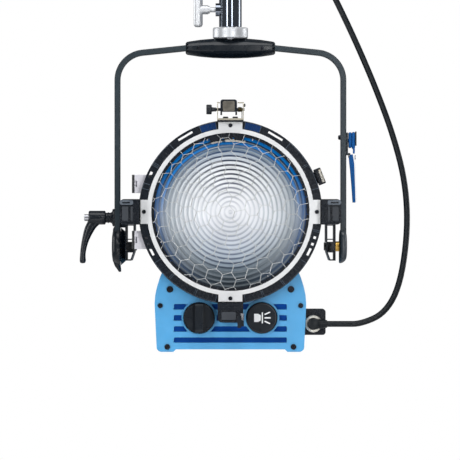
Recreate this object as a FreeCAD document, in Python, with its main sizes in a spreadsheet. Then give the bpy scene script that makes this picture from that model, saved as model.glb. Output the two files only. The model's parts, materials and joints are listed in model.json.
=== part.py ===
"""Fresnel spotlight, hung from a drop tube by its yoke, as a parametric FreeCAD document.

Millimetres, +Z up.  The origin is the shoulder of the spigot on top of the drop tube.
The lamp looks along -Y, and the yoke's arms are at +X and -X.  Heights written from the
lens axis are moved down by lens_drop when a piece is placed.
"""
import FreeCAD, Part
import math
import os
import re
import Sketcher

V = FreeCAD.Vector
Rotation = FreeCAD.Rotation
Placement = FreeCAD.Placement

# ---------------------------------------------------------------- driving dimensions, in mm
DIMENSIONS = {
    "lens_drop": -640,          # lens axis, from the origin
    # drop tube, spigots and the yoke's top
    "tube_rad": 22.5, "tube_base": -272, "socket_rad": 14.3, "socket_deep": 92,
    "spigot_rad": 14.25, "spigot_tall": 80, "spigot_waist": 12, "yoke_spigot_tall": 86,
    "boss_rad": 13, "tee_level": -238, "tee_reach": 63, "tee_bar_rad": 7, "tee_bar_half": 34.5,
    "tee_hub_rad": 9, "tee_screw_rad": 5,
    "collar_rad": 35, "collar_top": 366.5, "collar_base": 345,
    # yoke
    "yoke_half": 224.3, "bar_thick": 11.4, "bar_wide": 40, "yoke_bend": 55,
    "yoke_top": 325.5, "yoke_shoulder": 311.6, "grip_half": 89, "grip_end": 13.1,
    "grip_mid": 20.5, "grip_deep": 27,
    "tilt_level": -68, "pivot_rad": 8, "bush_rad": 10, "run_gap": 0.05,
    "cap_in": 215.4, "cap_out": 231.6, "cap_rad": 33, "dome_in": 217.6, "dome_out": 235.6,
    "dome_rad": 39.5, "disc_rad": 37.5, "disc_rad_in": 29, "disc_in": 207.8,
    "disc_out": 217.2, "notch_rad": 1.7, "notches": 36,
    "jaw_in": 208.9, "jaw_half": 14, "jaw_top": 8, "lever_level": -11, "stud_rad": 6,
    "lever_hub_in": 234.4, "lever_neck_rad": 10, "lever_hub_start": 247.7,
    "lever_hub_end": 281.7, "lever_hub_rad": 13.8, "lever_flange_rad": 17.5,
    "lever_thick": 17, "bolt_rad": 6.6, "tip_ease": 0.25,
    # cable strap on the right arm
    "strap_level": 142, "strap_half": 13, "strap_plate_half": 15, "strap_pin_rad": 4,
    # side rails
    "rail_in": 189.5, "rail_out": 207.6, "rail_top": 24, "rail_base": -96, "rail_wall": 1.8,
    "rail_front": -92, "rail_back": 150, "web_upper": -54, "web_lower": -78, "rail_mid": -26,
    # housing
    "shell_rad": 165, "shell_thick": 2.5, "split_level": -104, "split_half": 128.1,
    "shoulder_half": 138.6, "shoulder_level": -129, "hip_half": 144.2, "hip_level": -147,
    "flank_half": 147.6, "flank_level": -163, "skirt_half": 149, "skirt_level": -180,
    "base_half": 144.6,
    "floor_level": -270, "foot_level": -275, "foot_in": 112, "foot_out": 142,
    "panel_front": -138, "panel_back": -130, "panel_rad": 168, "aperture_rad": 150,
    "rear_front": 205, "rear_back": 212, "baffle_rad": 153,
    "knob_side": 61.5, "knob_level": -208, "knob_rad": 30.5, "rim_rad": 34.5, "knob_front": -166,
    "cap_front": -148, "spindle_rad": 6, "vent_reach": 111, "vent_half": 5.2,
    "vent_level": -186, "vent_pitch": 21.9, "rear_vent_reach": 95, "rear_vent_level": 90,
    "rear_vent_pitch": 24, "handle_rad": 9, "handle_half": 70, "handle_level": 130,
    "handle_post_side": 61,
    # lamp carriage
    "rod_side": 92, "rod_level": -150, "rod_rad": 6, "carriage_front": -30, "carriage_back": 80,
    "nut_rad": 11, "nut_leg_half": 16, "lamp_pin_side": 19,
    "carriage_level": -157, "lamp_depth": 20, "bulb_rad": 32, "mirror_rad": 84,
    # door
    "ring_rad": 180, "ring_hole": 157, "ring_front": -165, "ring_back": -141,
    "trim_rad": 163.6, "trim_hole": 155, "trim_front": -168, "tab_half": 23.5, "tab_reach": 176,
    "tab_lip": -180, "lens_rad": 152.5, "lens_clear_rad": 150, "lens_back": -144,
    "trim_screw_ring": 169.5, "window_ring": 172.8,
    "lens_rim": 9, "lens_pitch": 8.8, "lens_dome_rad": 16, "lens_curve": 205,
    "lens_step": 0.8, "lens_crown": 1.8,
    "guard_rad": 154, "guard_plane": -174, "guard_wire": 1.4, "guard_cell": 29,
    "hinge_side": 189, "hinge_depth": -139.5, "hinge_level": 55, "leaf_half": 18,
    "knuckle_rad": 4.5, "pin_rad": 2.5,
    "bracket_in": 178, "bracket_out": 216.8, "bracket_half": 25, "bracket_front": -196,
    "bracket_back": -150, "slot_front": -190, "slot_back": -172,
    "latch_pin_level": 200.5, "latch_half": 26, "latch_base": 180.2, "latch_top": 215,
    "flap_left": -19.6, "flap_right": 13, "flap_top": 220,
    "catch_angle": 21.7, "catch_in": 184.6, "catch_out": 197.5, "catch_half": 21.5,
    # connector box and mains lead
    "box_out": 187.4, "box_top": -191, "box_base": -242, "box_front": -118, "box_back": -40,
    "gland_side": 163, "gland_level": -220, "gland_rad": 15.5, "boot_rad": 11.5,
    "boot_end": 190, "boot_tail_rad": 10.8, "boot_end_rad": 7.5, "boot_depth": -137,
    "cord_dia": 12, "cord_split": 225,
    "coil_level": 570, "coil_rad": 60, "coil_front": 34.5, "coil_back": 98.5, "plug_level": 520,
}

doc = FreeCAD.newDocument("fresnel_spotlight")
sheet = doc.addObject("Spreadsheet::Sheet", "Dims")
for row, (alias, amount) in enumerate(DIMENSIONS.items(), start=1):
    sheet.set(f"A{row}", alias)
    sheet.set(f"B{row}", str(amount))
    sheet.setAlias(f"B{row}", alias)
doc.recompute()

BODIES = []          # every finished sub-part, in the order of making
HEAD = "lens_drop"   # the height that lens-based pieces are moved by


# ---------------------------------------------------------------- helpers
def formula(text):
    """Puts the sheet's name before each alias in an expression."""
    def known(match):
        word = match.group()
        return f"Dims.{word}" if word in DIMENSIONS else word
    return re.sub(r"[a-z][a-z_0-9]*", known, str(text))


def value(text):
    """What an expression is worth now, as a number."""
    result = sheet.evalExpression(formula(text))
    return float(getattr(result, "Value", result))


def bind(thing, prop, text):
    thing.setExpression(prop, formula(text))


def place(thing, x="0", y="0", z="0"):
    for axis, text in zip("xyz", (x, y, z)):
        bind(thing, f"Placement.Base.{axis}", text)
    return thing


def box(name, x, y, z):
    """A block from three (low, high) pairs of expressions."""
    thing = doc.addObject("Part::Box", name)
    for prop, (low, high) in zip(("Length", "Width", "Height"), (x, y, z)):
        bind(thing, prop, f"({high}) - ({low})")
    return place(thing, x[0], y[0], z[0])


TURNS = {"X": Rotation(V(0, 1, 0), 90), "Y": Rotation(V(1, 0, 0), -90), "Z": Rotation()}


def rod(name, axis, radius, low, high, u="0", v="0", radius_2=None):
    """A cylinder, or a cone if it has a second radius, along an axis from low to high."""
    thing = doc.addObject("Part::Cone" if radius_2 else "Part::Cylinder", name)
    if radius_2:
        bind(thing, "Radius1", radius)
        bind(thing, "Radius2", radius_2)
    else:
        bind(thing, "Radius", radius)
    bind(thing, "Height", f"({high}) - ({low})")
    thing.Placement = Placement(V(), TURNS[axis])
    spot = {"X": (low, u, v), "Y": (u, low, v), "Z": (u, v, low)}[axis]
    return place(thing, *spot)


def ball(name, radius, x, y, z):
    thing = doc.addObject("Part::Sphere", name)
    bind(thing, "Radius", radius)
    return place(thing, x, y, z)


def fuse(name, pieces):
    thing = doc.addObject("Part::MultiFuse", name)
    thing.Shapes = list(pieces)
    thing.Refine = True
    return thing


def group(name, pieces):
    thing = doc.addObject("Part::Compound", name)
    thing.Links = list(pieces)
    return thing


def cut(name, base, tools):
    thing = doc.addObject("Part::Cut", name)
    thing.Base = base
    thing.Tool = tools[0] if len(tools) == 1 else fuse(name + "_tools", tools)
    thing.Refine = True
    return thing


def common(name, one, other):
    thing = doc.addObject("Part::Common", name)
    thing.Base = one
    thing.Tool = other
    return thing


def tube(name, axis, radius, hole, low, high, u="0", v="0"):
    return cut(name, rod(name + "_outer", axis, radius, low, high, u, v),
               [rod(name + "_hole", axis, hole, low, high, u, v)])


def turned(name, piece, degrees, axis=V(0, 1, 0)):
    """A copy holder that turns a piece about an axis through the origin."""
    thing = group(name, [piece])
    thing.Placement = Placement(V(), Rotation(axis, degrees))
    return thing


def origin_plane(body, role):
    return next(f for f in body.Origin.OriginFeatures if f.Role == role)


def outline(body, role, points, name="outline"):
    """A closed sketch of straight lines; each corner is held by two expressions."""
    sketch = body.newObject("Sketcher::SketchObject", f"{body.Name}_{name}")
    sketch.AttachmentSupport = [(origin_plane(body, role), "")]
    sketch.MapMode = "FlatFace"
    corners = [(value(a), value(b)) for a, b in points]
    for low, high in zip(corners, corners[1:] + corners[:1]):
        sketch.addGeometry(Part.LineSegment(V(*low, 0), V(*high, 0)), False)
    for here in range(len(corners)):
        following = (here + 1) % len(corners)
        sketch.addConstraint(Sketcher.Constraint("Coincident", here, 2, following, 1))
    for here, texts in enumerate(points):
        for kind, text, amount in zip(("DistanceX", "DistanceY"), texts, corners[here]):
            number = sketch.addConstraint(Sketcher.Constraint(kind, here, 1, amount))
            bind(sketch, f"Constraints[{number}]", text)
    return sketch


def extruded(name, role, points, length, middle=False, reverse=False):
    """A body with one padded outline."""
    body = doc.addObject("PartDesign::Body", name)
    pad = body.newObject("PartDesign::Pad", name + "_pad")
    pad.Profile = outline(body, role, points)
    bind(pad, "Length", length)
    pad.Midplane = middle
    pad.Reversed = reverse
    return body


def lathed(name, points, axis="V_Axis", role="XZ_Plane"):
    """A body turned about one of its sketch's own axes."""
    body = doc.addObject("PartDesign::Body", name)
    sketch = outline(body, role, points)
    spin = body.newObject("PartDesign::Revolution", name + "_spin")
    spin.Profile = sketch
    spin.ReferenceAxis = (sketch, [axis])
    spin.Angle = 360
    return body


def rounded(body, radius, wanted, name="rounding"):
    """Rounds the edges of a body's tip that the test picks."""
    doc.recompute()
    base = body.Tip
    edges = [f"Edge{n}" for n, e in enumerate(base.Shape.Edges, 1) if wanted(e)]
    thing = body.newObject("PartDesign::Fillet", f"{body.Name}_{name}")
    thing.Base = (base, edges)
    bind(thing, "Radius", radius)
    return thing


def softened(name, piece, radius, wanted):
    """Rounds the edges of any solid that the test picks."""
    doc.recompute()
    thing = doc.addObject("Part::Fillet", name)
    thing.Base = piece
    thing.Edges = [(n, radius, radius) for n, e in enumerate(piece.Shape.Edges, 1) if wanted(e)]
    return thing


def shaped(name, shape):
    """A feature whose shape is worked out here, for forms that no other object makes."""
    thing = doc.addObject("Part::Feature", name)
    thing.Shape = shape
    return thing


def finish(label, piece, height=HEAD):
    """Names a sub-part, moves it to its height and puts it on the list to write."""
    if any("Placement" in path for path, _ in piece.ExpressionEngine):
        piece = group(label + "_holder", [piece])
    piece.Label = label
    if height:
        place(piece, "0", "0", height)
    BODIES.append(piece)
    return piece


def along(edge, direction):
    """True for a straight edge along a direction."""
    if edge.Curve.TypeId != "Part::GeomLine":
        return False
    return abs(abs(edge.tangentAt(edge.FirstParameter).dot(direction)) - 1) < 1e-6


X, Y, Z = V(1, 0, 0), V(0, 1, 0), V(0, 0, 1)


# ---------------------------------------------------------------- drop tube and clamp handle
def make_hanger():
    wall_in = "tube_rad - 3.5"
    sleeve_top = "tube_base + socket_deep"
    barrel = lathed("barrel", [
        ("socket_rad", "tube_base"), ("tube_rad", "tube_base"), ("tube_rad", "0"),
        (wall_in, "0"), (wall_in, sleeve_top), ("socket_rad", sleeve_top)])
    boss = rod("boss", "X", "boss_rad", "-tube_rad - 7", "-socket_rad - 1", "0", "tee_level")
    bored = cut("bored_barrel", fuse("barrel_and_boss", [barrel, boss]), [
        rod("socket_bore", "Z", "socket_rad", "tube_base - 1", sleeve_top),
        rod("tee_bore", "X", "tee_screw_rad + run_gap", "-tube_rad - 8", "0", "0", "tee_level")])
    finish("drop_tube", bored, None)

    waist_low = "spigot_tall - 22"
    waist_high = "spigot_tall - 12"
    spigot = lathed("hanging_spigot", [
        ("0", "-24"), (wall_in, "-24"), (wall_in, "0"), ("spigot_rad", "0"),
        ("spigot_rad", waist_low), ("spigot_waist", waist_low + " + 2"),
        ("spigot_waist", waist_high + " - 2"), ("spigot_rad", waist_high),
        ("spigot_rad", "spigot_tall - 3"), ("spigot_rad - 3", "spigot_tall"), ("0", "spigot_tall")])
    finish("top_spigot", spigot, None)


def make_tee_handle():
    level = "tee_level"
    bar = rod("tee_bar", "Z", "tee_bar_rad + 2", "tee_level - tee_bar_half",
              "tee_level + tee_bar_half", "-tee_reach - 1", "0")
    bar = softened("tee_bar_rounded", bar, value("tee_bar_rad - 1"), lambda e: e.Length > 1
                   and e.Curve.TypeId == "Part::GeomCircle")
    hub = rod("tee_hub", "X", "tee_hub_rad", "-tee_reach", "-tee_reach + 19", "0", level)
    collar = rod("tee_collar", "X", "tee_hub_rad - 1.5", "-tee_reach + 19", "-tee_reach + 22",
                 "0", level)
    screw = rod("tee_shaft", "X", "tee_screw_rad", "-tee_reach + 20", "-spigot_waist - 0.4",
                "0", level)
    finish("tee_handle", fuse("tee_clamp", [bar, hub, collar, screw]), None)


# ---------------------------------------------------------------- yoke
ARM_OUT = "yoke_half + bar_thick/2"
ARM_IN = "yoke_half - bar_thick/2"
BAR_TOP = "yoke_top + bar_thick/2"
BAR_UNDER = "yoke_top - bar_thick/2"
YOKE_SLOPE = "(yoke_top - yoke_shoulder)/(yoke_half - grip_half)"


def corner_level(side, start):
    """Height of the sloping top arm's face where it would meet the upright's face."""
    return f"{start} - {YOKE_SLOPE}*({side} - grip_half)"


def make_yoke_bar():
    tip = "tilt_level - bar_wide/2"
    half = [("grip_half", BAR_TOP), (ARM_OUT, corner_level(ARM_OUT, BAR_TOP)), (ARM_OUT, tip),
            (ARM_IN, tip), (ARM_IN, corner_level(ARM_IN, BAR_UNDER)), ("grip_half", BAR_UNDER)]
    mirrored = [(f"-({side})", level) for side, level in reversed(half)]
    bar = extruded("yoke_strip", "XZ_Plane", half + mirrored, "bar_wide", middle=True)

    def bend(outside):
        limit = value("yoke_half")
        return lambda e: along(e, Y) and e.BoundBox.ZMin > 200 and \
            abs(e.BoundBox.XMin) > limit - 7 and (abs(e.BoundBox.XMin) > limit) == outside
    rounded(bar, "yoke_bend + bar_thick/2", bend(True), "outer_bend")
    rounded(bar, "yoke_bend - bar_thick/2", bend(False), "inner_bend")
    low = value(tip)
    rounded(bar, "bar_wide/2 - 0.5", lambda e: along(e, X) and e.BoundBox.ZMax < low + 1, "tips")
    finish("yoke_bar", cut("drilled_yoke", bar, [
        rod("pivot_holes", "X", "bush_rad", f"-({ARM_OUT}) - 1", f"{ARM_OUT} + 1",
            "0", "tilt_level"),
        rod("stud_hole", "X", "stud_rad + run_gap", f"-({ARM_OUT}) - 1", f"-({ARM_IN}) + 1",
            "0", "lever_level"),
        rod("spigot_hole", "Z", "pivot_rad", BAR_UNDER + " - 1", BAR_TOP + " + 1")]))


def make_yoke_top():
    stem = f"{BAR_TOP}"
    top = "collar_top + yoke_spigot_tall"
    clamp_level = "tee_level - lens_drop"
    finish("yoke_spigot", lathed("spigot_turning", [
        ("0", BAR_UNDER), ("pivot_rad", BAR_UNDER), ("pivot_rad", stem), ("spigot_rad", stem),
        ("spigot_rad", f"{clamp_level} - 9"), ("spigot_waist", f"{clamp_level} - 6.5"),
        ("spigot_waist", f"{clamp_level} + 6.5"), ("spigot_rad", f"{clamp_level} + 9"),
        ("spigot_rad", f"{top} - 3"), ("spigot_rad - 3", top), ("0", top)]))
    finish("yoke_collar", lathed("collar_turning", [
        ("spigot_rad", "collar_base"), ("collar_rad - 2", "collar_base"),
        ("collar_rad", "collar_base + 2"), ("collar_rad", "collar_top - 2"),
        ("collar_rad - 2", "collar_top"), ("spigot_rad", "collar_top")]))

    shoulder = "grip_half * 0.55"
    upper = [("grip_half", "yoke_top + grip_end"), (shoulder, "yoke_top + grip_mid - 1.6"),
             (f"{shoulder}/2", "collar_base")]
    lower = [("grip_half", "yoke_top - grip_end"), (shoulder, "yoke_top - grip_mid + 1.6"),
             (f"{shoulder}/2", "yoke_top - grip_mid")]
    ring = [(f"-({a})", b) for a, b in upper] + upper[::-1] + lower + \
        [(f"-({a})", b) for a, b in lower[::-1]]
    grip = extruded("grip_moulding", "XZ_Plane", ring, "2*grip_deep", middle=True)
    rounded(grip, "7", lambda e: abs(e.BoundBox.YMax - e.BoundBox.YMin) < 0.1)
    finish("yoke_grip", cut("grip_shell", grip, [
        box("bar_slot", ("-grip_half - 1", "grip_half + 1"), ("-bar_wide/2", "bar_wide/2"),
            (BAR_UNDER, BAR_TOP)),
        rod("stem_hole", "Z", "spigot_rad", BAR_TOP, "collar_base + 1")]))


def bar_end(name, side):
    """The space that the end of a yoke arm takes, on one side."""
    low, high = (ARM_IN, ARM_OUT) if side > 0 else (f"-({ARM_OUT})", f"-({ARM_IN})")
    half = "bar_wide/2"
    return [box(name + "_arm", (low, high), (f"-{half}", half), ("tilt_level", "0")),
            rod(name + "_tip", "X", f"{half} + tip_ease", low, high, "0", "tilt_level")]


def make_pivots():
    dome = rod("dome", "X", "dome_rad", "-dome_out", "-dome_in", "0", "tilt_level")
    outer = -value("dome_out")
    dome = softened("dome_rounded", dome, 7, lambda e: e.BoundBox.XMax < outer + 0.1)
    tail = box("dome_tail", ("-dome_out + 11", "-dome_in"), ("-9", "9"),
               ("tilt_level - dome_rad - 8", "tilt_level - dome_rad + 6"))
    finish("left_pivot_housing", cut("dome_shell", fuse("dome_and_tail", [dome, tail]),
           bar_end("left_end", -1) + [
               rod("left_bush_seat", "X", "bush_rad", f"-({ARM_OUT})", "0", "0", "tilt_level")]))

    lid = rod("lid", "X", "cap_rad", "cap_in", "cap_out", "0", "tilt_level")
    lid = softened("lid_rounded", lid, 5, lambda e: e.BoundBox.XMin > value("cap_out") - 0.1)
    finish("right_pivot_cap", cut("lid_shell", lid, bar_end("right_end", 1) + [
        rod("right_bush_seat", "X", "bush_rad", "0", ARM_OUT, "0", "tilt_level")]))

    bore = "pivot_rad + run_gap"
    finish("pivot_bushes", group("bush_pair", [
        tube("left_bush", "X", "bush_rad", bore, f"-({ARM_OUT})", "-dome_in", "0", "tilt_level"),
        tube("right_bush", "X", "bush_rad", bore, "rail_out + 0.6", ARM_OUT, "0",
             "tilt_level")]))

    jaw = box("jaw_block", (f"-({ARM_IN})", "-jaw_in"), ("-jaw_half", "jaw_half"),
              ("tilt_level + disc_rad - 6", "jaw_top"))
    finish("brake_jaw", cut("jaw", jaw, [
        rod("jaw_seat", "X", "dome_rad + 0.3", "-dome_out", "-disc_in + 2", "0", "tilt_level"),
        rod("jaw_bore", "X", "stud_rad + run_gap", "-dome_out", "0", "0", "lever_level")]))


def make_tilt_lever():
    level = "lever_level"
    hub_top = -value("lever_hub_end")
    arm = extruded("lever_arm", "XZ_Plane", [
        ("-lever_hub_start", f"{level} + 6"), ("-lever_hub_end + 2", f"{level} + 6"),
        ("-lever_hub_end - 4", f"{level} - 12"), ("-lever_hub_end - 8.5", f"{level} - 44"),
        ("-lever_hub_end - 16", f"{level} - 89"), ("-lever_hub_end - 6", f"{level} - 91"),
        ("-lever_hub_end - 5.5", f"{level} - 79"), ("-lever_hub_end - 1.5", f"{level} - 42"),
        ("-lever_hub_end + 13", f"{level} - 19"), ("-lever_hub_start - 2", f"{level} - 12.5")],
        "lever_thick", middle=True)
    rounded(arm, "2.5", lambda e: abs(e.BoundBox.YMax - e.BoundBox.YMin) < 0.1)
    hub = rod("lever_hub", "X", "lever_hub_rad", "-lever_hub_end", "-lever_hub_start", "0", level)
    hub = softened("lever_hub_rounded", hub, 2, lambda e: e.BoundBox.XMax < hub_top + 0.1)
    neck = rod("lever_neck", "X", "lever_neck_rad", "-lever_hub_start", "-lever_hub_in",
               "0", level)
    flange = rod("lever_flange", "X", "lever_flange_rad - 0.5", "-lever_hub_in",
                 f"-({ARM_OUT})", "0", level)
    finish("tilt_lever", cut("lever", fuse("lever_blank", [arm, hub, neck, flange]), [
        rod("lever_bore", "X", "stud_rad", "-lever_hub_end - 20", "0", "0", level),
        rod("lever_bolt_seat", "X", "bolt_rad", "-lever_hub_end - 20", "-lever_hub_end",
            "0", level)]))
    finish("tilt_stud", fuse("stud", [
        rod("stud_shank", "X", "stud_rad", "-lever_hub_end", "-jaw_in - 1", "0", level),
        rod("stud_head", "X", "bolt_rad", "-lever_hub_end - 8.5", "-lever_hub_end",
            "0", level)]))


def make_cable_strap():
    arm_face = ARM_OUT
    roll_out = "yoke_half + 23.5"
    level = "strap_level"
    plate_span = ("-strap_plate_half", "strap_plate_half")
    finish("strap_bracket", fuse("bracket_parts", [
        box("strap_plate", (arm_face, f"{arm_face} + 3.6"), plate_span,
            (f"{level} - 29", f"{level} + 16")),
        box("strap_end", (roll_out, f"{roll_out} + 2.6"), ("-14", "14"),
            (f"{level} - 10", f"{level} + 18")),
        rod("strap_pin", "X", "strap_pin_rad", arm_face, roll_out, "0", level),
        box("strap_loop", (f"{arm_face} + 3", f"{arm_face} + 8"), plate_span,
            (f"{level} - 29", f"{level} - 25"))]))
    roll = box("strap_wound", (f"{arm_face} + 3.6", roll_out), ("-strap_half", "strap_half"),
               (f"{level} - 16.5", f"{level} + 16.5"))
    roll = softened("strap_roll", roll, 6, lambda e: along(e, X))
    tail = extruded("strap_tail", "XZ_Plane", [
        (f"{arm_face} + 8.4", f"{level} - 12"), (f"{arm_face} + 13.4", f"{level} - 12"),
        (f"{arm_face} + 15.4", f"{level} - 60"), (f"{arm_face} + 18.6", f"{level} - 122"),
        (f"{arm_face} + 14", f"{level} - 125"), (f"{arm_face} + 9.6", f"{level} - 60")],
        "2*strap_half - 1", middle=True)
    finish("cable_strap", cut("strap", fuse("strap_blank", [roll, tail]), [
        rod("strap_pin_hole", "X", "strap_pin_rad", arm_face, roll_out, "0", level)]))


# ---------------------------------------------------------------- housing
def mirrored(half):
    """Closes a right-hand half outline, listed from the top, with its left-hand copy."""
    return half + [(f"-({side})", level) for side, level in reversed(half)]


def skirt_side(inset="0"):
    """The housing's right side from the split down to its widest place, moved inward."""
    return [(f"{level}_half - {inset}", f"{level}_level")
            for level in ("split", "shoulder", "hip", "flank", "skirt")]


def end_outline(name, low, high):
    """The outline that the front and rear castings share, from low to high along Y."""
    skirt = extruded(name + "_skirt", "XZ_Plane", mirrored(skirt_side() + [
        ("base_half", "foot_level"), ("foot_in", "foot_level"),
        ("foot_in - 5", "floor_level")]), f"({high}) - ({low})")
    deep = value("foot_level")
    side = value("foot_in") + 5
    rounded(skirt, "10", lambda e: along(e, Y) and e.BoundBox.ZMax < deep + 1
            and abs(e.BoundBox.XMin) > side)
    place(skirt, "0", high, "0")
    return fuse(name + "_blank", [skirt, rod(name + "_disc", "Y", "panel_rad", low, high)])


SCREWS = (("119", "-152", "6.5"), ("138", "-184", "5"), ("124", "-265", "5.5"))


def screw_places():
    for number, (side, level, radius) in enumerate(SCREWS):
        for hand in (-1, 1):
            yield f"{number}_{'l' if hand < 0 else 'r'}", f"{hand}*{side}", level, radius


def make_front_panel():
    deep = "panel_back - 2"
    rows = []
    for number in range(4):
        level = f"vent_level - {number}*vent_pitch"
        rows.append(box(f"vent_{number}", ("-vent_reach", "vent_reach"), ("panel_front - 1", deep),
                        (f"{level} - vent_half", f"{level} + vent_half")))
    for number, row in enumerate(rows):
        doc.recompute()
        rows[number] = softened(f"vent_rounded_{number}", row, 2.5, lambda e: along(e, Y))
    keep = [rod(f"rim_keep_{hand}", "Y", "rim_rad - 1", "panel_front - 2", "panel_back",
                f"{hand}*knob_side", "knob_level") for hand in (-1, 1)]
    vents = cut("vents", fuse("vent_rows", rows), keep)
    rims = [tube(f"rim_{'l' if hand < 0 else 'r'}", "Y", "rim_rad", "rim_rad - 3",
                 "panel_front - 4", "panel_front + 1", f"{hand}*knob_side", "knob_level")
            for hand in (-1, 1)]
    holes = [rod(f"screw_hole_{tag}", "Y", "3", "panel_front - 1", "panel_back + 1", side, level)
             for tag, side, level, _ in screw_places()]
    finish("front_panel", cut("front_casting", fuse("front_solid", [
        end_outline("front", "panel_front", "panel_back"), *rims]), [
            rod("aperture", "Y", "aperture_rad", "panel_front - 1", "panel_back + 1"),
            rod("spindle_hole", "Y", "spindle_rad + run_gap", "panel_front - 1", "panel_back + 1",
                "-knob_side", "knob_level"),
            vents, *holes]))

    screws = []
    for tag, side, level, radius in screw_places():
        head = rod(f"screw_head_{tag}", "Y", radius, "panel_front - 3", "panel_front", side, level)
        socket = rod(f"screw_socket_{tag}", "Y", f"{radius}*0.42", "panel_front - 4",
                     "panel_front - 1", side, level)
        shank = rod(f"screw_shank_{tag}", "Y", "3", "panel_front", "panel_back", side, level)
        screws.append(cut(f"screw_{tag}", fuse(f"screw_blank_{tag}", [head, shank]), [socket]))
    finish("panel_screws", group("screw_set", screws))

    cap = rod("cap_disc", "Y", "knob_rad", "cap_front", "panel_front", "knob_side", "knob_level")
    front = value("cap_front")
    finish("blanking_cap", softened("cap_rounded", cap, 1.5,
                                    lambda e: e.BoundBox.YMax < front + 0.1))


def make_rear_panel():
    rows = []
    for number in range(9):
        level = f"rear_vent_level - {number}*rear_vent_pitch"
        rows.append(box(f"rear_vent_{number}", ("-rear_vent_reach", "rear_vent_reach"),
                        ("rear_front - 1", "rear_back + 1"), (f"{level} - 4", f"{level} + 4")))
    finish("rear_panel", cut("rear_casting", end_outline("rear", "rear_front", "rear_back"),
           rows + [rod("rear_spindle_hole", "Y", "spindle_rad + run_gap", "rear_front - 1",
                       "rear_back + 1", "-knob_side", "knob_level")]))
    grip = "rear_back + 42"
    handle = [rod("handle_bar", "X", "handle_rad", "-handle_half", "handle_half", grip,
                  "handle_level")]
    for hand in (-1, 1):
        side = f"{hand}*handle_post_side"
        handle.append(rod(f"handle_post_{hand + 2}", "Y", "7.5", "rear_back", grip, side,
                          "handle_level"))
        handle.append(rod(f"handle_foot_{hand + 2}", "Y", "15", "rear_back", "rear_back + 5",
                          side, "handle_level"))
    finish("rear_handle", fuse("handle", handle))


def make_shells():
    inner = "shell_rad - shell_thick"
    roof = tube("roof", "Y", "shell_rad", inner, "panel_back", "rear_front")
    slot = box("roof_slot", ("-4", "4"), ("-95", "-15"), (f"{inner} - 4", "shell_rad + 2"))
    slots = []
    for row in range(2):
        for number in range(7):
            copy = turned(f"roof_slot_{row}_{number}", slot, (number - 3) * 11)
            copy.Placement = Placement(V(0, row * 145, 0), copy.Placement.Rotation)
            slots.append(copy)
    finish("upper_shell", cut("vented_roof", roof, [
        box("roof_cut", ("-shell_rad - 1", "shell_rad + 1"), ("panel_back - 1", "rear_front + 1"),
            ("-shell_rad - 1", "split_level")), *slots]))

    wall = "shell_thick"
    tray = extruded("tray", "XZ_Plane", mirrored(
        skirt_side() + [("base_half", "floor_level")]), "rear_front - panel_back")
    place(tray, "0", "rear_front", "0")
    hollow = extruded("tray_hollow", "XZ_Plane", mirrored(
        [(f"split_half - {wall}*1.4", "split_level + 1")] + skirt_side(f"{wall}*1.2")
        + [(f"base_half - {wall}", f"floor_level + {wall}")]), "rear_front - panel_back + 2")
    place(hollow, "0", "rear_front + 1", "0")
    feet = [box(f"foot_{side}", edges, ("panel_back + 4", "rear_front - 4"),
                ("foot_level", "floor_level"))
            for side, edges in (("l", ("-foot_out + 8", "-foot_in")),
                                ("r", ("foot_in", "foot_out - 8")))]
    finish("lower_housing", cut("tray_shell", fuse("tray_and_feet", [tray, *feet]), [
        hollow, rod("lead_hole", "X", "9", "100", "160", "box_front + 40", "gland_level")]))

    baffle = tube("baffle_tube", "Y", "baffle_rad", "baffle_rad - 1.5", "-60", "190")
    finish("heat_baffle", cut("baffle", baffle, [
        box("baffle_cut", ("-baffle_rad - 1", "baffle_rad + 1"), ("-61", "191"),
            ("-baffle_rad - 1", "-40")),
        box("baffle_vent", ("-45", "45"), ("-50", "180"), ("100", "baffle_rad + 1"))]))


def rail_section(hand):
    """One hollow side extrusion with three chambers and a T-slot, on one side."""
    tag = "l" if hand < 0 else "r"

    def profile(points):
        return [(f"{hand}*({side})", level) for side, level in points]
    long = "rail_back - rail_front"
    solid = extruded(f"rail_{tag}", "XZ_Plane", profile([
        ("rail_in", "rail_top"), ("rail_out", "rail_top"), ("rail_out", "rail_base"),
        ("rail_in + 6.5", "rail_base"), ("rail_in + 1", "web_lower - 2"),
        ("rail_in", "web_lower + 2")]), long)
    place(solid, "0", "rail_back", "0")
    inside, outside = "rail_in + rail_wall", "rail_out - rail_wall"
    half = "rail_wall/2"
    chambers = [
        [(inside, "rail_top - rail_wall"), (outside, "rail_top - rail_wall"),
         (outside, f"rail_mid + {half}"), (inside, f"rail_mid + {half}")],
        [(inside, f"rail_mid - {half}"), (outside, f"rail_mid - {half}"),
         (outside, f"web_upper + {half}"), (inside, f"web_upper + {half}")],
        [(inside, f"web_upper - {half}"), (outside, f"web_upper - {half}"),
         (outside, f"web_lower + {half}"), (inside, f"web_lower + {half}")],
        [(inside + " + 1", f"web_lower - {half} - 1"), (outside, f"web_lower - {half} - 1"),
         (outside, "rail_base + rail_wall"), ("rail_in + 8", "rail_base + rail_wall")]]
    tools = []
    for number, points in enumerate(chambers):
        hollow = extruded(f"rail_{tag}_chamber_{number}", "XZ_Plane", profile(points),
                          long + " + 2")
        tools.append(place(hollow, "0", "rail_back + 1", "0"))
    low, high = ("rail_in - 1", "rail_out + 1")
    edges = (low, high) if hand > 0 else (f"-({high})", f"-({low})")
    tools.append(box(f"rail_{tag}_slot", edges, ("-70", "rail_back + 1"),
                     ("tilt_level - pivot_rad - 0.3", "tilt_level + pivot_rad + 0.3")))
    return cut(f"side_rail_{tag}", solid, tools)


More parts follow.
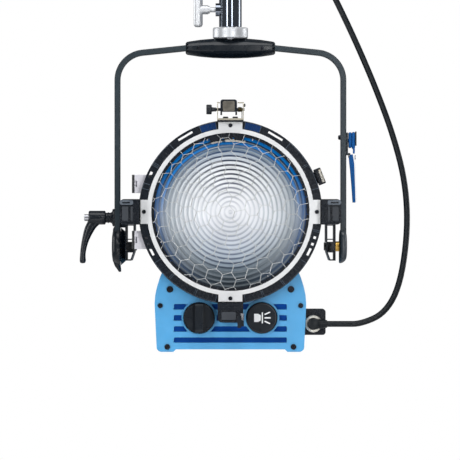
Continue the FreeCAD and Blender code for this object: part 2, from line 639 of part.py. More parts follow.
def make_rails():
    finish("left_side_rail", rail_section(-1))
    finish("right_side_rail", rail_section(1))
    supports, blocks = [], []
    for hand, tag in ((-1, "l"), (1, "r")):
        for number, (front, back) in enumerate((("-86", "-56"), ("105", "140"))):
            low, high = ("150", "rail_in") if hand > 0 else ("-rail_in", "-150")
            arm = box(f"support_{tag}_{number}", (low, high), (front, back), ("-20", "20"))
            supports.append(cut(f"rail_support_{tag}_{number}", arm, [
                rod(f"support_seat_{tag}_{number}", "Y", "shell_rad", "-100", "150")]))
        inner, outer = "rail_in + rail_wall", "rail_out - rail_wall"
        low, high = (inner, outer) if hand > 0 else (f"-({outer})", f"-({inner})")
        block = box(f"block_{tag}", (low, high), ("-30", "30"),
                    ("tilt_level - 9", "tilt_level + 9"))
        pin_ends = ("rail_in - 4", "yoke_half + 4")
        low, high = pin_ends if hand > 0 else (f"-({pin_ends[1]})", f"-({pin_ends[0]})")
        pin = rod(f"pivot_{tag}", "X", "pivot_rad", low, high, "0", "tilt_level")
        blocks.append(fuse(f"pivot_block_{tag}", [block, pin]))
    finish("rail_supports", group("support_set", supports))
    finish("pivot_blocks", group("block_set", blocks))

    teeth = []
    notch = rod("notch", "X", "notch_rad", "-disc_out", "-disc_in + 8", "0",
                "disc_rad + notch_rad/4")
    bevel = math.degrees(math.atan2(value("disc_rad - disc_rad_in"),
                                    value("disc_out - disc_in")))
    notch.Placement = Placement(notch.Placement.Base, Rotation(Y, 90 + bevel))
    count = round(value("notches"))
    for number in range(count):
        teeth.append(turned(f"notch_{number}", notch, number * 360 / count, X))
    toothed = cut("toothed_disc", rod("disc", "X", "disc_rad", "-disc_out", "-disc_in",
                                      radius_2="disc_rad_in"),
                  teeth + [rod("disc_bore", "X", "pivot_rad", "-disc_out - 1", "0")])
    finish("brake_disc", toothed, "lens_drop + tilt_level")


def make_connector():
    low, high = "box_base", "box_top"
    case = box("case", ("140", "box_out"), ("box_front", "box_back"), (low, high))
    wall = value("box_out") - 0.1
    case = softened("case_rounded", case, 6, lambda e: along(e, Y) and e.BoundBox.XMax > wall)
    seat = extruded("case_seat", "XZ_Plane", mirrored(
        skirt_side() + [("base_half", "floor_level")]), "rear_front - panel_back")
    place(seat, "0", "rear_front", "0")
    cavity = box("case_cavity", ("skirt_half + 2", "box_out - 4"),
                 ("box_front + 4", "box_back - 4"), (f"{low} + 4", f"{high} - 4"))
    finish("connector_box", cut("case_shell", case, [seat, cavity, rod(
        "case_gland_hole", "Y", "8", "box_front - 1", "box_front + 6",
        "gland_side", "gland_level")]))
    finish("cable_gland", tube("gland", "Y", "gland_rad", "boot_rad", "box_front - 6",
                               "box_front", "gland_side", "gland_level"))
    boot = [rod("boot_stem", "Y", "boot_rad", "boot_depth - boot_rad", "box_front", "gland_side",
                "gland_level"),
            rod("boot_tail", "X", "boot_tail_rad", "gland_side", "boot_end", "boot_depth",
                "gland_level", "boot_end_rad")]
    finish("cable_boot", fuse("boot", boot))


# ---------------------------------------------------------------- focus drive and lamp
def make_focus_drive():
    knob = rod("knob_skirt", "Y", "knob_rad", "panel_front - 12", "panel_front - 1",
               "-knob_side", "knob_level")
    front = value("panel_front - 12")
    knob = softened("knob_rounded", knob, 2.5, lambda e: e.BoundBox.YMax < front + 0.1)
    blade = box("knob_blade", ("-knob_side - 7.5", "-knob_side + 7.5"),
                ("knob_front", "panel_front - 11"),
                ("knob_level - knob_rad + 2", "knob_level + knob_rad - 2"))
    blade = softened("knob_blade_rounded", blade, 6, lambda e: along(e, X))
    finish("focus_knob", cut("knob", fuse("knob_blank", [knob, blade]), [
        rod("knob_bore", "Y", "spindle_rad", "panel_front - 10", "panel_front", "-knob_side",
            "knob_level")]))
    finish("focus_spindle", rod("spindle", "Y", "spindle_rad", "panel_front - 10",
                                "rear_back", "-knob_side", "knob_level"))

    rods = [rod(f"guide_{tag}", "Y", "rod_rad", "panel_back", "rear_front", f"{hand}*rod_side",
                "rod_level") for hand, tag in ((-1, "l"), (1, "r"))]
    finish("guide_rods", group("guide_pair", rods))


def make_carriage():
    running = "rod_rad + run_gap"
    deck = box("deck", ("-108", "108"), ("carriage_front", "carriage_back"),
               ("carriage_level - 3", "carriage_level + 16"))
    relief = box("deck_relief", ("-74", "74"), ("carriage_front - 1", "carriage_back + 1"),
                 ("carriage_level + 4", "carriage_level + 17"))
    leg = box("nut_leg", ("-knob_side - nut_leg_half", "-knob_side + nut_leg_half"), ("10", "40"),
              ("knob_level - 14", "carriage_level - 2"))
    post = cut("mirror_post", box("mirror_post_blank", ("-12", "12"),
                                  ("lamp_depth + 78", "lamp_depth + 92"),
                                  ("carriage_level + 3", "14")),
               [ball("mirror_seat", "mirror_rad + 2", "0", "lamp_depth", "0")])
    shelf = box("mirror_shelf", ("-30", "30"), ("carriage_back - 1", "lamp_depth + 92"),
                ("carriage_level - 3", "carriage_level + 4"))
    bores = [rod(f"guide_bore_{tag}", "Y", running, "carriage_front - 1", "carriage_back + 1",
                 f"{hand}*rod_side", "rod_level") for hand, tag in ((-1, "l"), (1, "r"))]
    finish("lamp_carriage", cut("carriage", fuse("carriage_blank", [
        cut("deck_plate", deck, [relief]), leg, post, shelf]), bores + [
            rod("nut_seat", "Y", "nut_rad", "9", "41", "-knob_side", "knob_level")]))
    finish("spindle_nut", tube("nut", "Y", "nut_rad", "spindle_rad + run_gap", "10", "40",
                               "-knob_side", "knob_level"))

    top = "carriage_level + 4"
    block = box("holder_block", ("-38", "38"), ("lamp_depth - 26", "lamp_depth + 26"),
                (top, f"{top} + 34"))
    block = softened("holder_rounded", block, 5, lambda e: along(e, Z))
    pins = [rod(f"pin_hole_{hand + 2}", "Z", "5.6", f"{top} + 8", f"{top} + 35",
                f"{hand}*lamp_pin_side", "lamp_depth") for hand in (-1, 1)]
    finish("lamp_holder", cut("holder", block, pins))

    seat = f"{top} + 34"
    lamp = [rod("lamp_base", "Z", "27", seat, f"{seat} + 22", "0", "lamp_depth"),
            rod("lamp_neck", "Z", "22", f"{seat} + 22", f"{seat} + 34", "0", "lamp_depth",
                "bulb_rad"),
            rod("lamp_tube", "Z", "bulb_rad", f"{seat} + 34", "52", "0", "lamp_depth"),
            ball("lamp_crown", "bulb_rad", "0", "lamp_depth", "52")]
    for hand in (-1, 1):
        lamp.append(rod(f"lamp_pin_{hand + 2}", "Z", "5.5", f"{top} + 10", f"{seat} + 1",
                        f"{hand}*lamp_pin_side", "lamp_depth"))
    finish("lamp_bulb", fuse("lamp", lamp))

    shell = cut("mirror_ball", ball("mirror_outer", "mirror_rad + 2", "0", "lamp_depth", "0"),
                [ball("mirror_inner", "mirror_rad", "0", "lamp_depth", "0")])
    finish("reflector", common("mirror", shell, rod(
        "mirror_zone", "Y", "70", "lamp_depth + 20", "lamp_depth + 100")))


# ---------------------------------------------------------------- lens door
def ring_window(name, degrees, across, tall, radius="window_ring"):
    """A slot through the ring's front, at an angle clockwise from the top."""
    piece = box(name + "_blank", (f"-{across}/2", f"{across}/2"), ("ring_front - 1", "ring_back"),
                (f"{radius} - {tall}/2", f"{radius} + {tall}/2"))
    return turned(name, piece, degrees)


def make_front_ring():
    section = lathed("ring_section", [
        ("trim_hole - 7", "lens_back"), ("trim_hole - 7", "ring_back"),
        ("ring_hole + 3", "ring_back"), ("ring_hole + 3", "ring_front + 4"),
        ("ring_rad - 4", "ring_front + 4"), ("ring_rad - 4", "ring_back"),
        ("ring_rad", "ring_back"), ("ring_rad", "ring_front + 1"),
        ("ring_rad - 1", "ring_front"), ("lens_rad", "ring_front"), ("lens_rad", "lens_back")],
        axis="V_Axis", role="XY_Plane")
    windows = []
    for hand in (-1, 1):
        tag = "l" if hand < 0 else "r"
        windows.append(ring_window(f"slot_top_{tag}", hand * 30.7, 32, 4))
        windows.append(ring_window(f"slot_low_{tag}", hand * 117, 15, 4.5))
        for number, degrees in enumerate((107, 111.5)):
            windows.append(ring_window(f"dot_{tag}_{number}", hand * degrees, 5, 5))
    windows.append(ring_window("slot_side", -65, 12, 5))
    for number in range(4):
        windows.append(turned(f"trim_screw_hole_{number}", rod(
            f"trim_screw_bore_{number}", "Y", "2.5", "ring_front - 1", "ring_back", "0",
            "trim_screw_ring"), number * 90))
    ear = box("catch_ear_blank", ("ring_rad - 2", "ring_rad + 4"), ("-150.1", "-145"), ("-5", "3"))
    ear = turned("catch_ear", ear, -value("catch_angle"))
    finish("front_ring", cut("ring", fuse("ring_blank", [section, ear]), windows))

    trim = tube("trim_band", "Y", "trim_rad", "trim_hole", "trim_front", "ring_front")
    tabs = []
    for number in range(4):
        flat = box(f"tab_{number}", ("-tab_half", "tab_half"), ("trim_front", "ring_front"),
                   ("trim_hole + 5", "tab_reach"))
        lip = box(f"tab_lip_{number}", ("-tab_half", "tab_half"), ("tab_lip", "ring_front"),
                  ("tab_reach - 2.5", "tab_reach"))
        tabs.append(turned(f"tab_turned_{number}", fuse(f"tab_blank_{number}", [flat, lip]),
                           number * 90))
    holes = [turned(f"tab_hole_{number}", rod(f"tab_bore_{number}", "Y", "2.5", "trim_front - 1",
             "ring_front + 1", "0", "trim_screw_ring"), number * 90) for number in range(4)]
    finish("lens_retaining_ring", cut("trim", fuse("trim_blank", [trim, *tabs]), holes))

    screws = []
    for number in range(4):
        screw = fuse(f"trim_screw_{number}", [
            rod(f"trim_screw_head_{number}", "Y", "4", "trim_front - 2.2", "trim_front", "0",
                "trim_screw_ring"),
            rod(f"trim_screw_shank_{number}", "Y", "2.5", "trim_front", "ring_front + 4", "0",
                "trim_screw_ring")])
        screws.append(turned(f"trim_screw_turned_{number}", screw, number * 90))
    finish("ring_screws", group("ring_screw_set", screws))


def make_lens():
    """Stepped lens: each ring's face leans as the full lens would at that radius."""
    rim = value("lens_back - lens_rim")
    step_top = rim - value("lens_step")
    back, pitch, curve = value("lens_back"), value("lens_pitch"), value("lens_curve")
    dome, edge = value("lens_dome_rad"), value("lens_clear_rad")
    points = [V(0, back, 0), V(value("lens_rad"), back, 0), V(value("lens_rad"), rim, 0),
              V(edge, rim, 0)]
    rings = round((edge - dome) / pitch)
    step = (edge - dome) / rings
    for number in range(rings):
        outer = edge - number * step
        inner = outer - step
        rise = step * (outer + inner) / 2 / curve
        points += [V(outer, step_top, 0), V(inner, step_top - rise, 0)]
    points.append(V(dome, step_top, 0))
    arc = crown(dome, step_top, value("lens_crown"))
    face = Part.Face(Part.Wire(
        [Part.LineSegment(a, b).toShape() for a, b in zip(points, points[1:])]
        + [arc.toShape(), Part.LineSegment(arc.EndPoint, points[0]).toShape()]))
    finish("lens", shaped("fresnel_lens", face.revolve(V(), V(0, 1, 0), 360)))


def crown(side, level, rise):
    """The arc over the lens's middle, square to the axis where it meets it."""
    radius = (side ** 2 + rise ** 2) / (2 * rise)
    middle = level - rise + radius
    half = math.asin(side / radius) / 2
    return Part.Arc(V(side, level, 0),
                    V(radius * math.sin(half), middle - radius * math.cos(half), 0),
                    V(0, level - rise, 0))


def make_guard():
    """Welded mesh of six-sided cells, one flat sheet inside a wire rim."""
    cell, wire = value("guard_cell"), value("guard_wire")
    rim, plane = value("guard_rad"), value("guard_plane")
    disc = Part.makeCylinder(rim, wire, V(0, plane, 0), Y)
    inside = Part.makeCylinder(rim - 2 * wire, wire + 2, V(0, plane - 1, 0), Y)
    side = (cell - wire) / math.sqrt(3)
    row_step = cell * math.sqrt(3) / 2
    holes = []
    count = int(rim / row_step) + 2
    for row in range(-count, count + 1):
        for column in range(-count, count + 1):
            centre = V((column + (row % 2) / 2) * cell, plane - 1, row * row_step)
            if math.hypot(centre.x, centre.z) > rim + cell / 2:
                continue
            corners = [centre + V(side * math.sin(k * math.pi / 3), 0,
                                  side * math.cos(k * math.pi / 3)) for k in range(7)]
            holes.append(Part.Face(Part.makePolygon(corners)).extrude(V(0, wire + 2, 0)))
    mesh = disc.cut(Part.makeCompound(holes).common(inside))
    feet = []
    for number in range(6):
        angle = math.radians(30 + 60 * number)
        spot = V((rim - 1.5) * math.sin(angle), plane + wire / 2, (rim - 1.5) * math.cos(angle))
        outer = V(spot.x * 1.032, plane + wire / 2, spot.z * 1.032)
        feet += [Part.makeCylinder(1.2, (outer - spot).Length, spot, outer - spot),
                 Part.makeCylinder(1.2, value("trim_front") - plane - wire / 2, outer, Y)]
    finish("wire_guard", shaped("guard_mesh", mesh.fuse(feet).removeSplitter()))


def make_hinges():
    axis_x, axis_y = "-hinge_side", "hinge_depth"
    fixed, moving = [], []
    for tag, level in (("upper", "hinge_level"), ("lower", "-hinge_level")):
        low, high = f"{level} - leaf_half", f"{level} + leaf_half"
        knuckle = (f"{level} - 5.8", f"{level} + 5.8")
        plate = cut(f"fixed_plate_{tag}", fuse(f"fixed_blank_{tag}", [
            box(f"fixed_leaf_{tag}", ("-hinge_side + 5.5", "-140"), ("-137", "-133"),
                (low, high)),
            box(f"fixed_tab_{tag}", ("-hinge_side", "-hinge_side + 6"), ("-137", "-133"),
                knuckle)]),
            [rod(f"fixed_seat_{tag}", "Y", "panel_rad", "-150", "-120")])
        barrel = rod(f"fixed_barrel_{tag}", "Z", "knuckle_rad", *knuckle, axis_x, axis_y)
        pin = rod(f"hinge_pin_{tag}", "Z", "pin_rad", low, high, axis_x, axis_y)
        fixed.append(fuse(f"fixed_hinge_{tag}", [plate, barrel, pin]))
        ends = [(low, f"{level} - 6"), (f"{level} + 6", high)]
        pieces = [box(f"door_leaf_{tag}", ("-hinge_side + 5.5", "-140"), ("-146", "-143"),
                      (low, high))]
        for number, span in enumerate(ends):
            pieces.append(box(f"door_tab_{tag}_{number}", ("-hinge_side", "-hinge_side + 6"),
                              ("-146", "-143"), span))
            pieces.append(rod(f"door_barrel_{tag}_{number}", "Z", "knuckle_rad", *span,
                              axis_x, axis_y))
        moving.append(cut(f"door_hinge_{tag}", fuse(f"door_hinge_blank_{tag}", pieces), [
            rod(f"door_seat_{tag}", "Y", "ring_rad", "-150", "-140"),
            rod(f"door_pin_bore_{tag}", "Z", "pin_rad + run_gap", f"{low} - 1", f"{high} + 1",
                axis_x, axis_y)]))
    finish("hinge_leaves_fixed", group("fixed_leaves", fixed))
    finish("hinge_leaves_door", group("door_leaves", moving))


# ---------------------------------------------------------------- accessory brackets and latches
def make_brackets():
    blank = box("bracket_blank", ("bracket_in", "bracket_out"), ("bracket_front", "bracket_back"),
                ("-bracket_half", "bracket_half"))
    outer = value("bracket_out") - 0.1
    blank = softened("bracket_rounded", blank, 9,
                     lambda e: along(e, Y) and e.BoundBox.XMin > outer)
    shape = cut("bracket_shell", blank, [
        rod("bracket_seat", "Y", "ring_rad", "ring_front - 0.5", "bracket_back + 1"),
        box("bracket_slot", ("bracket_in - 1", "bracket_out - 9"), ("slot_front", "slot_back"),
            ("-bracket_half - 1", "bracket_half + 1")),
        box("bracket_panel", ("bracket_in + 13", "bracket_out - 3"),
            ("bracket_front - 1", "bracket_front + 1.5"), ("-bracket_half + 7", "bracket_half - 7"))
    ])
    low = cut("low_bracket", turned("low_bracket_turned", shape, 90), [
        rod("clamp_bore", "Y", "3 + run_gap", "bracket_front - 1", "slot_back - 6", "17",
            "-bracket_out + 4.6")])
    finish("frame_brackets", group("bracket_set", [
        turned("right_bracket", shape, 0), turned("left_bracket", shape, 180), low]))

    side, level = "17", "-bracket_out + 4.6"
    wing = box("clamp_wing", ("10", "25"), ("bracket_front - 14", "bracket_front - 8"),
               (f"{level} - 16", f"{level} + 16"))
    wing = softened("clamp_wing_rounded", wing, 2.5, lambda e: along(e, Z))
    finish("lower_clamp", fuse("lower_clamp_screw", [
        wing, rod("clamp_hub", "Y", "6", "bracket_front - 9", "bracket_front - 0.2", side, level),
        rod("clamp_shank", "Y", "3", "bracket_front - 1", "slot_back - 7", side, level)]))


def make_top_latch():
    depth, level = "-176", "latch_pin_level"
    sheet_base = box("latch_floor", ("-latch_half", "latch_half"), ("-190", "-151"),
                     ("latch_base - 3", "latch_base + 3"))
    cheeks = []
    for hand, tag in ((-1, "l"), (1, "r")):
        edges = ("-latch_half", "-latch_half + 1.6") if hand < 0 else \
            ("latch_half - 1.6", "latch_half")
        cheek = box(f"cheek_{tag}", edges, ("-190", "-160"), ("latch_base", "latch_top"))
        high = value("latch_top") - 0.1
        cheeks.append(softened(f"cheek_rounded_{tag}", cheek, 7, lambda e: along(e, X)
                               and e.BoundBox.ZMin > high))
        cheeks.append(rod(f"latch_bolt_{tag}", "Z", "4.8", "latch_base + 2.9",
                          "latch_base + 5.6", f"{hand}*9.5", "-172"))
    finish("latch_base", cut("latch_saddle", fuse("latch_saddle_blank", [sheet_base, *cheeks]), [
        rod("latch_ring_seat", "Y", "ring_rad", "ring_front - 0.3", "-140"),
        rod("latch_pin_bore", "X", "3 + run_gap", "-latch_half - 1", "latch_half + 1", depth,
            level)]))

    flap = box("flap_block", ("flap_left", "flap_right"), ("-189", "-165"),
               (f"{level} - 4.5", "flap_top"))
    flap = softened("flap_rounded", flap, 4, lambda e: along(e, X))
    legs = [box(f"flap_leg_{tag}", edges, ("-187", "-167"), (f"{level} - 11", f"{level}"))
            for tag, edges in (("l", ("flap_left", "flap_left + 3.4")),
                               ("r", ("flap_right - 3.4", "flap_right")))]
    finish("latch_flap", cut("flap", fuse("flap_blank", [flap, *legs]), [
        rod("flap_bore", "X", "3", "flap_left - 1", "flap_right + 1", depth, level)]))
    finish("latch_pin", fuse("pin_and_knob", [
        rod("latch_pin_rod", "X", "3", "-40", "latch_half + 1.5", depth, level),
        rod("latch_knob", "X", "8.75", "-47", "-36.6", depth, level)]))

    coil = Part.makeHelix(1.9, 8.2, 4.25)
    start = V(4.25, 0, 0)
    wire_rad = 0.75
    circle = Part.Wire([Part.Circle(start, V(0, 1, 0.071), wire_rad).toShape()])
    spring = Part.Wire(coil.Edges).makePipeShell([circle], True, True)
    spring.rotate(V(), Y, 90)
    spring.translate(V(value("flap_right") + 1.4, -176, value(level)))
    leg = Part.makeCylinder(wire_rad, 17, V(value("flap_right") + 9.6, -180.25, value(level)),
                            V(0, 0, -1))
    finish("latch_spring", shaped("torsion_spring", Part.makeCompound([spring, leg])))


def make_door_catch():
    inner, outer, half = "catch_in", "catch_out", "catch_half"
    case = box("catch_case", (inner, outer), ("-160", "-126"), (f"-{half}", half))
    low, high = value(inner), value(outer)
    case = softened("catch_rounded", case, 3, lambda e: along(e, Y)
                    and e.BoundBox.XMin > high - 0.1)
    foot = box("catch_foot", ("150", f"{inner} + 3"), ("-137.5", "-130.5"), ("-12", "12"))
    body = cut("catch", fuse("catch_blank", [case, foot]), [
        rod("catch_seat", "Y", "panel_rad", "-150", "-120"),
        box("catch_window", ("187", "191"), ("-161", "-149.9"), ("-16.5", "17")),
        box("catch_path", (f"{inner} - 1", "187.5"), ("-155.1", "-149.9"), ("-16.5", "3"))])
    turn = -value("catch_angle")
    finish("door_catch_case", turned("catch_turned", body, turn))
    slider = fuse("slider", [
        box("slider_plate", ("187.1", "190.9"), ("-163.5", "-150"), ("-16", "7")),
        box("slider_tongue", ("181.5", "187.2"), ("-155", "-150.4"), ("-16", "-9"))])
    finish("door_catch", turned("slider_turned", slider, turn))


# ---------------------------------------------------------------- mains lead
# Corners of the lead's route from the split to the coil: X and Y, and Z from the lens axis.
LEAD_ROUTE = [
    (225, -137, -220), (256, -137, -220), (303, -132, -200), (334, -114, -145),
    (350, -91, -38), (346, -68, 58), (323, -45, 150), (289, -22, 244), (253, -2, 330),
    (217, 14, 408), (181, 26, 480), (147, 32, 543), (105, 34.5, 597), (62, 34.5, 630),
    (0, 34.5, 630)]


def lead_wire(points):
    """Straight runs joined by the largest tangent arcs that the runs allow."""
    edges, radii = [], []
    here = points[0]
    for before, corner, after in zip(points, points[1:], points[2:]):
        to_corner, onward = corner - before, after - corner
        turn = to_corner.getAngle(onward)
        reach = 0.45 * min(to_corner.Length, onward.Length)
        radii.append(reach / math.tan(turn / 2))
        start = corner - to_corner.normalize() * reach
        end = corner + onward.normalize() * reach
        inward = (onward - to_corner).normalize()
        middle = corner + inward * (reach * math.tan(turn / 4))
        edges += [Part.LineSegment(here, start).toShape(),
                  Part.Arc(start, middle, end).toShape()]
        here = end
    edges.append(Part.LineSegment(here, points[-1]).toShape())
    return Part.Wire(edges), radii


def make_lead():
    radius = value("cord_dia / 2")
    finish("mains_cord_lower", rod("lead_start", "X", "cord_dia/2", "boot_end", "cord_split",
                                   "boot_depth", "gland_level"))

    path, radii = lead_wire([V(*point) for point in LEAD_ROUTE])
    profile = Part.Wire([Part.Circle(V(*LEAD_ROUTE[0]), X, radius).toShape()])
    lead = path.makePipeShell([profile], True, False)
    print("bend radii:", ", ".join(f"{r:.0f}" for r in radii))
    print(f"lead {path.Length:.0f} long, volume {lead.Volume:.0f},"
          f" section times length {math.pi * radius ** 2 * path.Length:.0f}")

    side, level = value("coil_rad"), value("coil_level")
    front, back = value("coil_front"), value("coil_back")
    ring = Part.makeCylinder(side + radius, back - front + 2 * radius,
                             V(0, front - radius, level), Y)
    ring = ring.cut(Part.makeCylinder(side - radius, 200, V(0, front - 50, level), Y))
    drop = value("plug_level")
    tail = Part.makeCylinder(radius, level - drop, V(-side, back, drop), Z)
    finish("mains_cord_upper", shaped("lead", Part.makeCompound(
        [lead.cut(ring), tail.cut(ring)])))
    finish("mains_cord_coil", shaped("coiled_lead", ring))

    width, band = 10, 2
    over, under = level + side + radius + 0.2, level + math.sqrt((side - radius) ** 2
                                                                 - width ** 2) - 0.2
    loop = Part.makeBox(2 * width, back - front + 2 * radius + 2 * band + 0.4,
                        over - under + 2 * band,
                        V(-width, front - radius - band - 0.2, under - band))
    loop = loop.cut(Part.makeBox(2 * width + 2, back - front + 2 * radius + 0.4, over - under,
                                 V(-width - 1, front - radius - 0.2, under)))
    outer, low = value("tube_rad") + 0.3, under - band
    collar = Part.makeCylinder(outer + band, over + band - low, V(0, 0, low))
    bridge = Part.makeBox(2 * width, front - radius - 20, over + band - low,
                          V(-width, 20, low))
    hole = Part.makeCylinder(outer, 60, V(0, 0, low - 10))
    finish("cord_tie", shaped("tie", collar.fuse([loop, bridge]).cut(hole).removeSplitter()))

    neck, body, pins = 14, 54, 19
    x, y = f"-{side}", f"{back}"
    spot = "plug_level"
    grip = rod("plug_grip", "Z", "19", f"{spot} - {neck + body}", f"{spot} - {neck}", x, y)
    grip = softened("plug_rounded", grip, 3, lambda e: e.Length > 1
                    and e.Curve.TypeId == "Part::GeomCircle")
    finish("plug_body", fuse("plug", [grip, rod(
        "plug_neck", "Z", "15", f"{spot} - {neck}", spot, x, y, radius_2="cord_dia/2 + 2")]))
    base = f"{spot} - {neck + body}"
    finish("plug_pins", group("pin_set", [
        rod(f"plug_pin_{number}", "Z", "2.5" if number else "3.5", f"{base} - {pins}", base,
            f"{x} + {9 * math.sin(2 * math.pi * number / 3):.2f}",
            f"{y} + {9 * math.cos(2 * math.pi * number / 3):.2f}") for number in range(3)]))


# ---------------------------------------------------------------- build, check and write
def main():
    make_hanger()
    make_tee_handle()
    make_yoke_bar()
    make_yoke_top()
    make_pivots()
    make_tilt_lever()
    make_cable_strap()
    make_front_panel()
    make_rear_panel()
    make_shells()
    make_rails()
    make_connector()
    make_focus_drive()
    make_carriage()
    make_front_ring()
    make_lens()
    make_guard()
    make_hinges()
    make_brackets()
    make_top_latch()
    make_door_catch()
    make_lead()
    write_parts()


def write_parts():
    doc.recompute()
    bad = [thing.Name for thing in doc.Objects
           if "Invalid" in thing.State or "Error" in thing.State]
    for piece in BODIES:
        if piece.Shape.isNull() or not piece.Shape.isValid():
            bad.append(piece.Label)
    if bad:
        raise SystemExit("failed: " + ", ".join(bad))
    os.makedirs("parts", exist_ok=True)
    for piece in BODIES:
        piece.Shape.exportStep(os.path.join("parts", piece.Label + ".step"))
        size = piece.Shape.BoundBox
        print(f"{piece.Label}: {len(piece.Shape.Solids)} solids, {piece.Shape.Volume / 1000:.1f} cm3,"
              f" X {size.XMin:.1f} {size.XMax:.1f} Y {size.YMin:.1f} {size.YMax:.1f}"
              f" Z {size.ZMin:.1f} {size.ZMax:.1f}")
    print(len(BODIES), "nodes")


main()
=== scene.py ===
"""Looks of a fresnel spotlight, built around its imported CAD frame.

Metres, +Z up, the lamp looks along -Y.  at() turns a place measured in millimetres from the
lens axis into the frame's own coordinates.
"""
import bpy, bmesh
import json
import math
import random
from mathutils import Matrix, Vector


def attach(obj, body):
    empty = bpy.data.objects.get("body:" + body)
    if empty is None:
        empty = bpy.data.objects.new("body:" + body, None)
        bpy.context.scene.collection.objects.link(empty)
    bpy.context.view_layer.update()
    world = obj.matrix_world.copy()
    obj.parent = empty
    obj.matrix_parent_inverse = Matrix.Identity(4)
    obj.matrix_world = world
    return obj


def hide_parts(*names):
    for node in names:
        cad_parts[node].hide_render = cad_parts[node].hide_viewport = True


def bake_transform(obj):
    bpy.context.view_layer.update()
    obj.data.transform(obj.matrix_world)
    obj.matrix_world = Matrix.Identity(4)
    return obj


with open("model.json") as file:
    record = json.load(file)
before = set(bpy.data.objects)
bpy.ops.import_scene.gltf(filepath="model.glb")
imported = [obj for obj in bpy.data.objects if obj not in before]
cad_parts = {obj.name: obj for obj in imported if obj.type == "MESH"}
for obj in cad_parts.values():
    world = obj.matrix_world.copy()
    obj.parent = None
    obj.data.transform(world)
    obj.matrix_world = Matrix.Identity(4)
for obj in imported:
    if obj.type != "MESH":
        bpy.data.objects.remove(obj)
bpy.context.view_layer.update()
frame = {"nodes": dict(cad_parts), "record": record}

LENS_LEVEL = -0.640          # the lens axis, from the frame's origin
X, Y, Z = Vector((1, 0, 0)), Vector((0, 1, 0)), Vector((0, 0, 1))
# Heights, and (x, z) or (x, y) places of fittings, in millimetres from the lens axis.
TILT_LEVEL = -68.0
LEVER_LEVEL = -11.0
GRIP_LEVEL = 325.5
REAR_GRIP_LEVEL = 130
BOOT_FRONT, INLET_LEVEL = -137, -220
FOCUS_KNOB = (-61.5, -208.0)
BLANK_CAP = (61.5, -208.0)
PLUG = (-60, 98.5)
random.seed(7)


def at(x, y, z):
    return Vector((x / 1000, y / 1000, z / 1000 + LENS_LEVEL))


def heading(angle):
    """A flat direction at an angle in radians."""
    return Vector((math.cos(angle), math.sin(angle)))


# ---------------------------------------------------------------- camera
VIEW_WIDTH = 0.902           # what the picture spans at the lens
DISTANCE = 12.0
camera = bpy.data.objects.new("camera", bpy.data.cameras.new("camera"))
bpy.context.scene.collection.objects.link(camera)
camera.data.sensor_width = 36
camera.data.lens = 36 * DISTANCE / VIEW_WIDTH
camera.data.clip_end = 60
camera.location = (-0.0008, -0.16 - DISTANCE, LENS_LEVEL - 0.0355)
camera.rotation_euler = (math.pi / 2, 0, 0)
bpy.context.scene.camera = camera


# ---------------------------------------------------------------- materials
def shade(value):
    """A colour given as 0 to 255 screen values, as linear light."""
    def linear(c):
        c /= 255
        return c / 12.92 if c <= 0.04045 else ((c + 0.055) / 1.055) ** 2.4
    return tuple(linear(c) for c in value) + (1,)


def scaled(colour, share):
    """A lighter or darker shade of a colour."""
    return tuple(min(1, c * share) for c in colour[:3]) + (1,)


class Nodes:
    """A short way to wire the nodes of a new material, or of one that is there already."""

    def __init__(self, name=None, material=None):
        self.material = material or bpy.data.materials.new(name)
        self.material.use_nodes = True
        self.tree = self.material.node_tree
        self.surface = self.tree.nodes["Principled BSDF"]
        self.place = self.tree.nodes.new("ShaderNodeTexCoord").outputs["Object"]

    def add(self, kind, links=None, **settings):
        node = self.tree.nodes.new("ShaderNode" + kind)
        for key, item in settings.items():
            setattr(node, key, item)
        for key, item in (links or {}).items():
            self.feed(node.inputs[key], item)
        return node

    def feed(self, socket, item):
        if isinstance(item, bpy.types.NodeSocket):
            self.tree.links.new(item, socket)
        else:
            socket.default_value = item

    def noise(self, scale, detail=3, place=None):
        return self.add("TexNoise", {"Vector": place or self.place, "Scale": scale,
                                     "Detail": detail}).outputs["Fac"]

    def spread(self, value, low, high, to_low, to_high):
        return self.add("MapRange", {"Value": value, "From Min": low, "From Max": high,
                                     "To Min": to_low, "To Max": to_high}).outputs["Result"]

    def math(self, operation, one, other=0.0):
        node = self.add("Math", operation=operation)
        self.feed(node.inputs[0], one)
        self.feed(node.inputs[1], other)
        return node.outputs[0]

    def mix(self, share, one, other):
        node = self.add("Mix", data_type="RGBA")
        self.feed(node.inputs[0], share)
        self.feed(node.inputs[6], one)
        self.feed(node.inputs[7], other)
        return node.outputs[2]

    def bump(self, height, depth, after=None):
        node = self.add("Bump", {"Height": height, "Distance": depth})
        if after:
            self.feed(node.inputs["Normal"], after)
        return node.outputs["Normal"]

    def give(self, **inputs):
        for key, item in inputs.items():
            self.feed(self.surface.inputs[key.replace("_", " ")], item)


